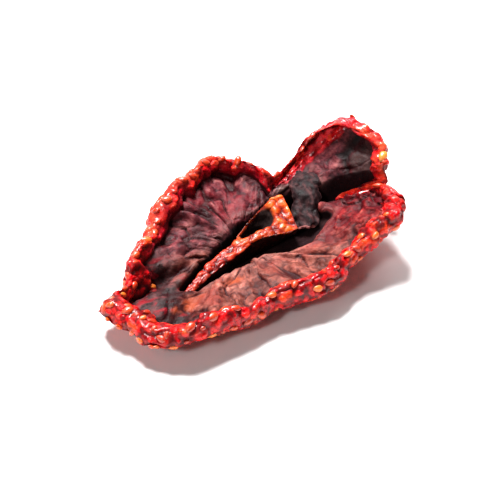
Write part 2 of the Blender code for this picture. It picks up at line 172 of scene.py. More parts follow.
# The core ridge: points along its top, with its half width at each. It ends in a tilted paddle, higher
# on the far side. The cup is given in half widths, on the far side too.
CORE_LINE = MM * np.array([
    (-11.6, -4.1, 2.2),
    (-8.6, -2.9, 2.8),
    (-5.0, -1.5, 3.2),
    (-1.6, -0.2, 3.6),
    (1.3, 0.8, 4.0),
    (3.4, 1.3, 4.2),
    (4.9, 1.2, 4.2),
])
CORE_HALF_WIDTHS = MM * np.array([0.40, 0.65, 0.80, 1.00, 1.65, 2.15, 2.05])
CORE_FOOT = 0.60 * MM
CORE_ROUND = 0.32 * MM
CORE_TAPER = 0.45
CUP_DEPTH = 2.2 * MM
CUP_ASIDE = 0.46
CUP_SPREAD = 0.44
CUP_FROM = (0.48, 0.60)
CUP_TO = (0.68, 0.86)
PADDLE_TILT = 0.42
PADDLE_FROM = (0.55, 0.85)

# The seeds, and the rule that places them.
SEED_LENGTH = 1.30 * MM
SEED_WIDTH = 0.90 * MM
SEED_PITCH = 2.62 * MM
SEED_TRIALS = 4000
SEED_DRAW = 11
SEED_TOWARDS = np.array([-1.0, -0.15, 0.0])
SEED_PROUD_FROM = 0.55 * MM
FLAT_CLEAR = 0.28 * MM
NOTCH_CLEAR = 1.6

# Shares of v: the flesh, from the hollow's lip to the foot of the rim, the skin from the rim's
# inner foot, the bottom of the outer wall, and where the skin's folds end.
LAST_CONTROL = 20
FLESH_FROM = (4.0 / LAST_CONTROL, 5.5 / LAST_CONTROL)
FLESH_TO = (8.5 / LAST_CONTROL, 10.5 / LAST_CONTROL)
SKIN_FROM = 10.2 / LAST_CONTROL
WALL_BOTTOM = 16.0 / LAST_CONTROL
SKIN_FOLDS_TO = (0.86, 0.96)
ROUND_DIVISIONS = 108
SECTION_DIVISIONS = 31
CROWN_DENSITY = 0.35

# Fine divisions: the body's rows are closest on the flesh and the rim.
FINE_SIDES = 620
FINE_ROWS = 154
ROW_PLACES = (0.0, 0.07, 0.62, 0.84, 1.0)
ROW_SHARES = (0.0, 0.15, 0.62, 0.83, 1.0)
CORE_ROWS = 220
CORE_SIDES = 96

# Distance from a cell's middle, in cell sizes, at which its dome ends.
CELL_REACH = 0.85


def smooth_step(x, low, high):
    """0 below low, 1 above high, and a smooth cubic between them."""
    t = np.clip((x - low) / (high - low), 0.0, 1.0)
    return t * t * (3.0 - 2.0 * t)


def mix(a, b, share):
    return a + (b - a) * share


def bell(x, middle, spread, power=2):
    """1 at the middle, falling off to 0 on both sides; a higher power gives a flatter top."""
    return np.exp(-(np.abs((x - middle) / spread) ** power))


def lattice_value(cell, seed):
    """A fixed number from -1 to 1 for each whole-number lattice point."""
    mixed = cell[..., 0] * 73856093 ^ cell[..., 1] * 19349663 ^ cell[..., 2] * 83492791
    mixed = (mixed ^ (seed * 2654435761)) & 0xFFFFFFFF
    mixed = ((mixed ^ (mixed >> 15)) * 2246822519) & 0xFFFFFFFF
    mixed = ((mixed ^ (mixed >> 13)) * 3266489917) & 0xFFFFFFFF
    mixed = mixed ^ (mixed >> 16)
    return mixed / 0xFFFFFFFF * 2.0 - 1.0


def noise(points, seed):
    """Smooth noise from -1 to 1: lattice values blended along each of the three directions."""
    cell = np.floor(points).astype(np.int64)
    t = points - cell
    t = t * t * t * (t * (t * 6.0 - 15.0) + 10.0)
    total = np.zeros(points.shape[:-1])
    for corner in np.ndindex(2, 2, 2):
        share = np.prod(np.where(corner, t, 1.0 - t), axis=-1)
        total += share * lattice_value(cell + np.array(corner), seed)
    return total


def creases(points, seed, sharpness=3.0):
    """1 along the lines where the noise passes zero, falling off to 0 on both sides: folded skin."""
    return np.clip(1.0 - np.abs(noise(points, seed)) * 1.6, 0.0, 1.0) ** sharpness


def lumps(points, seed):
    """Cells round scattered points, one in each unit cube: the distance to the nearest of them, and
    a number from 0 to 1 for the cell."""
    cell = np.floor(points).astype(np.int64)
    nearest = np.full(points.shape[:-1], 9.0)
    owner = np.zeros(points.shape[:-1])
    for step in np.ndindex(3, 3, 3):
        other = cell + np.array(step) - 1
        jitter = np.stack([lattice_value(other, seed + k) for k in range(3)], -1) * 0.4 + 0.5
        distance = np.linalg.norm(points - other - jitter, axis=-1)
        closer = distance < nearest
        nearest = np.where(closer, distance, nearest)
        owner = np.where(closer, lattice_value(other, seed + 3) * 0.5 + 0.5, owner)
    return nearest, owner


def dome(distance):
    """1 at the middle of a cell, down to 0 near its edge, from the distance that lumps gives."""
    return np.clip(1.0 - (distance / CELL_REACH) ** 2, 0.0, 1.0)


def stir(points, size, amount, seeds):
    """Offsets of up to the amount from noise of the given size, with one number for each seed."""
    return amount * np.stack([noise(points / size, seed) for seed in seeds], -1)


def ring_noise(u, waves, seed):
    """Noise that closes on itself after one turn of u, with about that many waves."""
    turn = 2.0 * np.pi * u
    radius = waves / 3.6
    return noise(np.stack([radius * np.cos(turn), radius * np.sin(turn), 0.0 * u], -1), seed)


def catmull_rom(a, b, c, d, f):
    """Curve from b to c as f runs from 0 to 1, with the points before and after them."""
    return 0.5 * (2 * b + (c - a) * f + (2 * a - 5 * b + 4 * c - d) * f**2 + (3 * b - a - 3 * c + d) * f**3)


def closed_spline(points, t):
    """Smooth curve through a closed list of points; t counts points."""
    i = np.floor(t).astype(int)
    near = [points[(i + k) % len(points)] for k in (-1, 0, 1, 2)]
    return catmull_rom(*near, (t - i)[:, None])


def open_spline(points, t):
    """Smooth curve through an open list of points or numbers; t runs from 0 to 1."""
    last = len(points) - 1
    i = np.minimum(np.floor(t * last).astype(int), last - 1)
    f = t * last - i
    near = [points[np.clip(i + k, 0, last)] for k in (-1, 0, 1, 2)]
    return catmull_rom(*near, f[:, None] if points.ndim > 1 else f)


def outline_at(u):
    """Point of the outline at the share u of its length. Seen from the middle, the outline always turns
    on by at least a little, so that no two sections cross."""
    arm = closed_spline(OUTLINE, np.linspace(0.0, len(OUTLINE), OUTLINE_SAMPLES)) - MIDDLE
    run = np.concatenate([[0.0], np.cumsum(np.linalg.norm(np.diff(arm, axis=0), axis=1))])
    angle = np.unwrap(np.arctan2(arm[:, 1], arm[:, 0]))
    angle = np.maximum.accumulate(angle - LEAST_TURN * run) + LEAST_TURN * run
    place = (u % 1.0) * run[-1]
    angle = np.interp(place, run, angle)
    reach = np.interp(place, run, np.linalg.norm(arm, axis=1))
    return MIDDLE + reach[:, None] * np.stack([np.cos(angle), np.sin(angle)], -1)


def zones(rim, angle):
    """How far each section belongs to the far side, the tip, the crown end and the notch, 0 to 1."""
    far = smooth_step(rim[:, 1], -9.0 * MM, 11.0 * MM)
    tip = smooth_step(-rim[:, 0], 13.0 * MM, 20.0 * MM)
    crown = smooth_step(rim[:, 0], 9.0 * MM, 16.0 * MM)
    notch = bell(angle, NOTCH_ANGLE, NOTCH_SPREAD, 4)
    return far, tip, crown, notch


def crest_at(u, rim, far, tip, crown, notch):
    """Height of the rim's crest."""
    crest = mix(mix(mix(NEAR_CREST, FAR_CREST, far), TIP_CREST, tip), CROWN_CREST, crown)
    crest = crest + CREST_WAVE * (ring_noise(u, 16, 7) + 0.5 * ring_noise(u, 38, 8))
    waist = bell(rim[:, 0], WAIST_AT, WAIST_SPREAD) * far
    return mix(crest - WAIST_DIP * waist, NOTCH_CREST, notch)


def hollow_at(u, angle):
    """Distance from the middle to the hollow's edge, a superellipse whose power grows towards the crown."""
    crownward = smooth_step(np.cos(angle - CORE_ANGLE), 0.0, 0.9)
    from_axis = angle - CORE_ANGLE + HOLLOW_TURNS * crownward
    along = np.cos(from_axis)
    across = np.sin(from_axis)
    half_length = np.where(along > 0, HOLLOW_TO_CROWN, HOLLOW_TO_TIP)
    half_width = np.where(across > 0, HOLLOW_TO_FAR, HOLLOW_TO_NEAR)
    half_width = half_width + np.where(across > 0, HOLLOW_WIDENS_FAR, HOLLOW_WIDENS_NEAR) * crownward
    power = mix(TIP_HOLLOW_POWER, CROWN_HOLLOW_POWER, crownward)
    powers = np.abs(along / half_length) ** power + np.abs(across / half_width) ** power
    return powers ** (-1.0 / power) * (1 + HOLLOW_WAVE * ring_noise(u, 30, 9))


def section(u):
    """The section at u: its direction in plan, and the distances and heights of its control points."""
    rim = outline_at(u)
    arm = rim - MIDDLE
    reach = np.linalg.norm(arm, axis=1)
    direction = arm / reach[:, None]
    angle = np.arctan2(direction[:, 1], direction[:, 0])
    far, tip, crown, notch = zones(rim, angle)

    reach = reach + OUTLINE_WAVE * (ring_noise(u, 22, 3) + 0.6 * ring_noise(u, 44, 4)) * (1 - notch)
    reach = reach + TEAR * crown * ring_noise(u, 70, 5)
    radius = mix(mix(RIM_RADIUS, TIP_RIM_RADIUS, tip), CROWN_RIM_RADIUS, crown)
    radius = mix(radius * (1 + RADIUS_WAVE * ring_noise(u, 40, 6)), NOTCH_RIM_RADIUS, notch)
    crest = crest_at(u, rim, far, tip, crown, notch)
    lip = mix(mix(NEAR_LIP, FAR_LIP, far), NOTCH_LIP, notch)
    foot = crest - radius * mix(NEAR_RIM_DEPTH, FAR_RIM_DEPTH, far)
    inner = reach - RIM_WIDTH * radius
    hollow = np.minimum(hollow_at(u, angle), inner - mix(LEAST_FLESH, NOTCH_FLESH, notch))
    wall = WALL_SHARE * crest

    def belly(share):
        return wall * share**BELLY_POWER

    def over_belly(distance, height):
        return np.maximum(height, belly(distance / reach) + THINNEST)

    floor = np.full_like(u, HOLLOW_FLOOR)
    controls = [
        (0.0 * u, floor),
        (0.45 * hollow, floor),
        (0.97 * hollow, over_belly(hollow, floor)),
        (mix(hollow, inner, 0.02), over_belly(hollow, mix(floor, lip, 0.45))),
        (mix(hollow, inner, 0.04), over_belly(hollow, lip)),
    ]
    for out, up in zip(FLESH_OUT, FLESH_UP):
        controls.append((mix(hollow, inner, out), mix(lip, foot, up)))
    controls.append((inner - 0.10 * MM, foot - 0.10 * radius))
    controls.append((inner + 0.20 * radius, foot - 0.25 * radius))
    for out, up in RIM_INNER_POINTS:
        controls.append((inner + out * radius, crest + up * radius))
    for out, up in RIM_OUTER_POINTS:
        controls.append((reach + out * radius, crest + up * radius))
    shoulder = crest + RIM_OUTER_POINTS[-1][1] * radius
    controls.append((reach - 0.02 * radius, mix(wall, shoulder, 0.45)))
    controls.append((SKIN_OUT[0] * reach, mix(wall, belly(SKIN_OUT[0]), 0.6)))
    for out in SKIN_OUT[1:]:
        controls.append((out * reach, belly(out)))
    controls.append((FLAT_OUT * reach, 0.0 * u))
    controls.append((0.0 * u, 0.0 * u))
    return direction, np.stack([c[0] for c in controls], 1), np.stack([c[1] for c in controls], 1)


def along_section(controls, v, odd):
    """Cubic B-spline through rows of control values at v. Past both ends the row is mirrored, so that
    opposite sections meet smoothly in the middle of the slice; distances change sign there."""
    last = controls.shape[1] - 1
    sign = -1.0 if odd else 1.0
    before, after = sign * controls[:, 1:2], sign * controls[:, -2:-1]
    controls = np.concatenate([before, controls, after], axis=1)
    i = np.minimum(np.floor(v * last).astype(int), last - 1)
    f = v * last - i
    weights = ((1 - f) ** 3, 3 * f**3 - 6 * f**2 + 4, -3 * f**3 + 3 * f**2 + 3 * f + 1, f**3)
    rows = np.arange(len(v))
    return sum(w * controls[rows, i + k] for k, w in enumerate(weights)) / 6.0


def curl(points):
    """Bends what lies past the hinge line upwards, round a cylinder: the far shoulder of the crown."""
    towards = np.array([math.cos(CURL_TOWARDS), math.sin(CURL_TOWARDS)])
    past = (points[:, :2] - CURL_HINGE) @ towards
    turn = np.maximum(past, 0.0) / CURL_RADIUS
    radius = CURL_RADIUS + CURL_HEIGHT - points[:, 2]
    curled = points.copy()
    curled[:, :2] += np.where(past > 0, radius * np.sin(turn) - past, 0.0)[:, None] * towards
    curled[:, 2] += radius * (1.0 - np.cos(turn))
    return curled


def warped(points):
    """The warping of drying: a slow wobble, the bend and curl of the crown end, the lift of both ends."""
    scaled = points / WOBBLE_SIZE
    wobble = np.stack([noise(scaled, 21), noise(scaled + 7.3, 22), noise(scaled - 5.1, 23)], -1)
    bent = points + WOBBLE * wobble
    bend = mix(CROWN_BEND, FAR_CROWN_BEND, smooth_step(bent[:, 1], *BEND_EASES))
    bent[:, 1] -= bend * np.maximum(bent[:, 0] - BEND_FROM, 0.0) ** 2
    bent = curl(bent)
    bent[:, 2] += CROWN_LIFT * np.maximum(bent[:, 0] - CROWN_LIFT_FROM, 0.0) ** 2
    bent[:, 2] += TIP_LIFT * np.maximum(-bent[:, 0] - TIP_LIFT_FROM, 0.0) ** 2
    return bent


def slice_surface(u, v):
    """Points of the slice's surface: distance and height along the section at u, folds, then warping."""
    direction, distances, heights = section(u)
    distance = along_section(distances, v, odd=True)
    height = along_section(heights, v, odd=False)
    on_flesh = smooth_step(v, *FLESH_FROM) * (1 - smooth_step(v, *FLESH_TO))
    radial = np.concatenate([direction * FOLDS_ROUND, (distance / FOLD_LENGTH)[:, None]], axis=1)
    height = height + FOLD * on_flesh * noise(radial, 31)
    plan = MIDDLE + distance[:, None] * direction
    on_skin = smooth_step(v, SKIN_FROM, SKIN_FROM + 0.1) * (1 - smooth_step(v, *SKIN_FOLDS_TO))
    lengthwise = np.concatenate([plan, height[:, None]], axis=1) / SKIN_FOLD_SIZE
    height = height + SKIN_FOLD * on_skin * noise(lengthwise, 32)
    points = warped(np.concatenate([plan, height[:, None]], axis=1))
    points[:, 2] = np.maximum(points[:, 2] - BELLY_FLAT, 0.0)
    return points


def grid_places(sides, rows):
    """The u of each side, closer at the crown end."""
    turn = 2.0 * np.pi * np.arange(sides) / sides
    u = (turn - CROWN_DENSITY * np.sin(turn)) / (2.0 * np.pi)
    return np.broadcast_to(u, (len(rows), sides)), np.broadcast_to(rows[:, None], (len(rows), sides))


def surface_grid(sides, rows):
    """The slice's surface on a grid of rows by sides, with the u and v of each point."""
    u, v = grid_places(sides, rows)
    points = slice_surface(u.ravel(), v.ravel()).reshape(len(rows), sides, 3)
    return points, u, v


def centring():
    """How far the part was moved in plan to centre it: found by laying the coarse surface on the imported
    node, first box on box, then point by point."""
    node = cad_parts[NODE]
    cad = np.array([tuple(p.co) for p in node.data.vertices])
    coarse, _, _ = surface_grid(ROUND_DIVISIONS, np.linspace(0.0, 1.0, SECTION_DIVISIONS + 1)[8:24])
    coarse = coarse.reshape(-1, 3)
    shift = np.append(((cad.min(0) + cad.max(0)) / 2 - (coarse.min(0) + coarse.max(0)) / 2)[:2], 0.0)
    for _ in range(5):
        moved = coarse[::3] + shift
        nearest = np.argmin(((moved[:, None, :] - cad[None, :, :]) ** 2).sum(-1), axis=1)
        shift[:2] += np.median(cad[nearest] - moved, axis=0)[:2]
    return shift


def normals_of(points):
    """Unit normals of a grid of points that closes along its second direction."""
    along = np.roll(points, -1, axis=1) - np.roll(points, 1, axis=1)
    across = np.gradient(points, axis=0)
    normal = np.cross(across, along)
    return normal / np.maximum(np.linalg.norm(normal, axis=-1, keepdims=True), 1e-12)


def blurred(field, times):
    """A field on the closed grid, evened out with its neighbours."""
    for _ in range(times):
        field = (np.roll(field, 1, axis=1) + np.roll(field, -1, axis=1) + 2 * field) / 4
        padded = np.concatenate([field[:1], field, field[-1:]])
        field = (padded[:-2] + padded[2:] + 2 * field) / 4
    return field


def new_piece(name, points, faces, material, attributes=None):
    """A mesh object with smooth faces, its material and its named point values."""
    mesh = bpy.data.meshes.new(name)
    mesh.from_pydata(points.tolist(), [], faces)
    for key, values in (attributes or {}).items():
        layer = mesh.attributes.new(key, "FLOAT", "POINT")
        layer.data.foreach_set("value", np.ascontiguousarray(values, dtype=np.float32))
    mesh.shade_smooth()
    mesh.materials.append(material)
    piece = bpy.data.objects.new(name, mesh)
    bpy.context.scene.collection.objects.link(piece)
    return piece


def capped_grid(points):
    """Points and faces of a grid that closes along its second direction, with a pole at each end."""
    rows, sides = points.shape[:2]
    flat = np.concatenate([points.reshape(-1, 3), [points[0].mean(0), points[-1].mean(0)]])
    j = np.arange(sides)
    k = (j + 1) % sides
    start = np.arange(rows - 1)[:, None] * sides
    quads = np.stack([start + j, start + sides + j, start + sides + k, start + k], -1).reshape(-1, 4)
    first = np.stack([np.full(sides, rows * sides), j, k], -1)
    end = (rows - 1) * sides
    last = np.stack([np.full(sides, rows * sides + 1), end + k, end + j], -1)
    return flat, quads.tolist() + first.tolist() + last.tolist()


def with_poles(field):
    """A field on the grid as one row of numbers, with the mean of each end for its pole."""
    return np.concatenate([field.ravel(), [field[0].mean(), field[-1].mean()]])


# Seeds

FIRST_SEED_V = SKIN_FROM + 0.015
LAST_SEED_V = 0.995
SEED_SPREAD_POWER = 0.75

# The smaller seeds between the part's own. They are sparser by up to a share of the pitch in some places
# and closer in others, and stay clear of the notch.
FILL_DRAW = 12
FILL_TRIALS = 2600
FILL_PITCH = 1.75 * MM
TIP_FILL_PITCH = 1.25 * MM
TIP_FILL_FROM = (12 * MM, 19 * MM)
CROWN_FILL_PITCH = 2.6 * MM
CROWN_FILL_ABOVE = (6.5 * MM, 8.0 * MM)
FILL_CLUSTER = 0.55
FILL_CLUSTER_SIZE = 3.6 * MM
NOTCH_PLACE = MM * np.array([13.0, 2.0])
NOTCH_REACH = 3.4 * MM


def skin_trials(draw, trials):
    """Random places all over the skin, and which of them are clear of the notch and the flat spot."""
    u = draw.random(trials)
    v = FIRST_SEED_V + (LAST_SEED_V - SKIN_FROM) * draw.random(trials) ** SEED_SPREAD_POWER
    v = np.minimum(v, LAST_SEED_V)
    points = slice_surface(u, v)
    direction, _, _ = section(u)
    angle = np.arctan2(direction[:, 1], direction[:, 0])
    clear = points[:, 2] > np.where(v > WALL_BOTTOM, FLAT_CLEAR, 0.0)
    clear &= np.abs(angle - NOTCH_ANGLE) > NOTCH_CLEAR * NOTCH_SPREAD
    return points, clear


def kept_apart(points, clear, pitch, before):
    """The clear points, taken in turn, that lie at least the pitch away from all kept before."""
    kept = list(before)
    for i in np.flatnonzero(clear):
        if not kept or np.linalg.norm(np.array(kept) - points[i], axis=1).min() > pitch[i]:
            kept.append(points[i])
    return kept


def seed_places():
    """The part's own seeds, and then the smaller ones between them, closest at the tip."""
    points, clear = skin_trials(np.random.default_rng(SEED_DRAW), SEED_TRIALS)
    own = kept_apart(points, clear, np.full(len(points), SEED_PITCH), [])
    points, clear = skin_trials(np.random.default_rng(FILL_DRAW), FILL_TRIALS)
    clear &= np.linalg.norm(points[:, :2] - NOTCH_PLACE, axis=1) > NOTCH_REACH
    pitch = mix(FILL_PITCH, TIP_FILL_PITCH, smooth_step(-points[:, 0], *TIP_FILL_FROM))
    pitch = pitch * (1 + FILL_CLUSTER * noise(points / FILL_CLUSTER_SIZE, 98))
    pitch = mix(pitch, CROWN_FILL_PITCH, smooth_step(points[:, 2], *CROWN_FILL_ABOVE))
    return np.array(kept_apart(points, clear, pitch, own)), len(own)


# Relief of the body

# Beads of the skin, the crevices between them, folds on the outer wall, and the pits of the seeds.
BEAD_SIZE = 1.55 * MM
BEAD = 0.32 * MM
BEAD_STIR = 0.55 * MM
BEAD_STIR_SIZE = 1.2 * MM
SMALL_BEAD_SIZE = 0.70 * MM
SMALL_BEAD = 0.16 * MM
CREVICE_SIZE = 1.9 * MM
CREVICE = 0.26 * MM
WALL_BEADS = 0.6
WALL_FOLD_SIZES = MM * np.array([4.0, 1.6, 1.6])
WALL_FOLD = 0.18 * MM
PIT = 0.24 * MM
PIT_RADIUS = 0.75 * MM

# Creases of the flesh: their number round the slice, their length, and how much they bend. Crinkles,
# swells and grain lie between them. The near side's creases are shallower.
LONG_CREASES = 4.6
LONG_CREASE_LENGTH = 5.0 * MM
LONG_CREASE_BEND = 1.5
WRINKLE = 0.44 * MM
SHORT_CREASES = 9.0
SHORT_CREASE_LENGTH = 2.6 * MM
SHORT_CREASE_BEND = 2.0
FINE_WRINKLE = 0.20 * MM
CREASE_STIR = 0.35
CREASE_STIR_SIZE = 3.0 * MM
NEAR_VIGOUR = 0.55
CRINKLE_SIZE = 1.5 * MM
CRINKLE = 0.10 * MM
SWELL_SIZE = 1.1 * MM
SWELL = 0.10 * MM
GRAIN_SIZE = 0.42 * MM
GRAIN = 0.035 * MM

# The uneven floor of the hollow.
FLOOR_SWELL_SIZE = 1.6 * MM
FLOOR_SWELL = 0.30 * MM
FLOOR_CREASE_SIZE = 1.3 * MM
FLOOR_CREASE = 0.22 * MM

# Shares of v between which the zones of the section begin and end, and how ragged their edges are.
FLESH_BEGINS = (3.4 / LAST_CONTROL, 4.3 / LAST_CONTROL)
FLESH_ENDS = (8.6 / LAST_CONTROL, 9.8 / LAST_CONTROL)
SKIN_BEGINS = (9.1 / LAST_CONTROL, 10.0 / LAST_CONTROL)
WALL_BEGINS = (13.5 / LAST_CONTROL, 15.5 / LAST_CONTROL)
# The hollow's zone is painted near black as shade.
HOLLOW_ENDS = (3.2 / LAST_CONTROL, 4.1 / LAST_CONTROL)
FLOOR_BEGINS = (0.02, 0.08)
FLOOR_ENDS = (2.0 / LAST_CONTROL, 3.0 / LAST_CONTROL)
# The notch's crack, out to these ends, is painted near black as shade.
SPLIT_ENDS = (9.0 / LAST_CONTROL, 11.0 / LAST_CONTROL)
SPLIT_WIDENS = 1.5
RAGGED = 0.012
RAGGED_SLOW = 0.02

# Bands along the rim's crest, along its inner foot and along the hollow's lip: where each lies in v, and
# its half width. The lip is rolled up, most at the crown end.
# The crest band carries a painted highlight.
CREST_BAND = (11.6 / LAST_CONTROL, 0.75 / LAST_CONTROL)
# The foot band carries painted shade where the flesh meets the rim, with the skin's own deeper crimson.
FOOT_BAND = (9.5 / LAST_CONTROL, 1.0 / LAST_CONTROL)
# The lip band carries a painted highlight along the rolled lip.
LIP_BAND = (4.5 / LAST_CONTROL, 0.55 / LAST_CONTROL)
LIP_FULL_FROM = (9 * MM, 12 * MM)
LEAST_LIP = 0.25
ROLL = 0.20 * MM

# The layered flesh of the near lobe, the strip of skin inside the shoulder's far edge, and the stringy
# saddle between the core and the shoulder.
LOBE_ENDS = (math.radians(4.0), math.radians(10.0))
LAYER_SIZES = MM * np.array([1.5, 2.6, 1.3])
LAYER = 0.42 * MM
STRIP_FROM = (math.radians(29.5), math.radians(32.5))
STRIP_TO = (math.radians(43.0), math.radians(49.0))
STRIP_OUT = (8.0 * MM, 10.5 * MM)
STRIP_RAGGED = math.radians(1.6)
STRIP_WIDENS = 0.24
SADDLE = MM * np.array([6.6, 6.3, 4.2])
SADDLE_RADIUS = 1.6 * MM
STRAND_SIZES = MM * np.array([2.4, 0.55, 0.8])
STRAND = 0.28 * MM

# The oval patch on the shoulder's face: its middle, its half sizes across and up as seen from the near
# side, and those two directions. An arc-shaped groove runs along its left side.
SHOULDER_FROM = (10.5 * MM, 12.0 * MM)
SHOULDER_ABOVE = (5.4 * MM, 6.2 * MM)
PATCH_MIDDLE = MM * np.array([14.5, 1.3, 8.0])
PATCH_SIZES = (1.9 * MM, 2.7 * MM)
ACROSS = np.array([0.891, -0.454, 0.0])
UPWARDS = np.array([0.298, 0.585, 0.755])
# The arc's groove is painted near black as shade.
ARC_BAND = (1.10, 0.22)
ARC_DEPTH = 0.35 * MM

# Dusky flesh towards the tip, on the far side of the core's axis and all round the tip. Two streaks on
# the near side: the place along and beside that axis, and the half sizes.
DUSK_FROM = (6.0 * MM, 11.5 * MM)
DUSK_ASIDE = (-2.2 * MM, 0.2 * MM)
DUSK_ROUND_TIP = (11.5 * MM, 13.5 * MM)
STREAKS = MM * np.array([(-12.6, -2.6, 2.6, 0.75), (-5.6, -3.3, 1.8, 0.8)])


def nearest_distance(points, places):
    """Distance from each point to the nearest place, worked out place by place."""
    nearest = np.full(len(points), 1.0)
    for place in places:
        nearest = np.minimum(nearest, np.linalg.norm(points - place, axis=1))
    return nearest


def flesh_relief(flat, direction, distance, far):
    """Relief of the flesh, and its creases and crinkles on their own, for the painted shade in them."""
    bend = stir(flat, CREASE_STIR_SIZE, CREASE_STIR, (51, 52))
    slow = direction * LONG_CREASES + LONG_CREASE_BEND * bend
    slow = np.concatenate([slow, (distance / LONG_CREASE_LENGTH)[:, None]], axis=1)
    quick = direction * SHORT_CREASES + SHORT_CREASE_BEND * bend
    quick = np.concatenate([quick, (distance / SHORT_CREASE_LENGTH)[:, None]], axis=1)
    long_crease = creases(slow, 43, 5.0)
    short_crease = creases(quick, 44, 4.0)
    crinkle = creases(flat / CRINKLE_SIZE, 45, 2.0)
    deep = WRINKLE * long_crease + FINE_WRINKLE * short_crease
    relief = -deep * mix(NEAR_VIGOUR, 1.0, far) - CRINKLE * crinkle + SWELL * noise(flat / SWELL_SIZE, 47)
    return relief, np.clip(0.9 * long_crease + 0.6 * short_crease, 0, 1), crinkle


def skin_relief(flat, pushed, v, places):
    """Relief of the skin, and on their own, for their colours, how high the beads stand, for a painted
    highlight on their tops, a number for each bead, and the pits, for painted shade in them."""
    gap, bead_tone = lumps(pushed / BEAD_SIZE, 60)
    small_gap, _ = lumps(pushed / SMALL_BEAD_SIZE, 64)
    bead = dome(gap)
    small_bead = dome(small_gap)
    crevice = creases(flat / CREVICE_SIZE, 49, 3.0)
    fold = creases(flat / WALL_FOLD_SIZES, 48, 2.0)
    pit = bell(nearest_distance(flat, places), 0.0, PIT_RADIUS)
    beaded = BEAD * (bead - 0.5) + SMALL_BEAD * (small_bead - 0.5) - CREVICE * crevice
    relief = mix(beaded, WALL_BEADS * beaded - WALL_FOLD * fold, smooth_step(v, *WALL_BEGINS)) - PIT * pit
    return relief, np.clip(0.6 * bead + 0.45 * small_bead - 0.55 * crevice, 0.0, 1.0), bead_tone, pit


def shoulder_marks(flat, angle, flesh, notch):
    """The oval patch on the curled shoulder's face, and the groove along its left side, which is painted
    near black as shade.
    """
    face = smooth_step(flat[:, 0], *SHOULDER_FROM) * (angle > NOTCH_ANGLE) * flesh
    face = face * smooth_step(flat[:, 2], *SHOULDER_ABOVE) * (1 - notch)
    sideways = (flat - PATCH_MIDDLE) @ ACROSS / PATCH_SIZES[0]
    upwards = (flat - PATCH_MIDDLE) @ UPWARDS / PATCH_SIZES[1]
    oval = np.sqrt(sideways**2 + upwards**2) + 0.12 * noise(flat / (1.2 * MM), 69)
    patch = (1 - smooth_step(oval, 0.75, 1.0)) * face
    return patch, bell(oval, *ARC_BAND) * smooth_step(-sideways, -0.2, 0.4) * face


def tip_marks(flat):
    """The dusky flesh towards the tip, and the two streaks."""
    axis = np.array([math.cos(CORE_ANGLE), math.sin(CORE_ANGLE)])
    plan = flat[:, :2] - MIDDLE + stir(flat, 2.2 * MM, 1.1 * MM, (67, 68))
    along = plan @ axis
    aside = plan @ np.array([-axis[1], axis[0]])
    dusk = smooth_step(-along, *DUSK_FROM) * smooth_step(aside, *DUSK_ASIDE)
    dusk = np.maximum(dusk, smooth_step(-along, *DUSK_ROUND_TIP))
    streak = np.zeros_like(along)
    for place_along, place_aside, length, width in STREAKS:
        spot = bell(along, place_along, length) * bell(aside, place_aside, width)
        streak = np.maximum(streak, spot)
    return dusk, streak


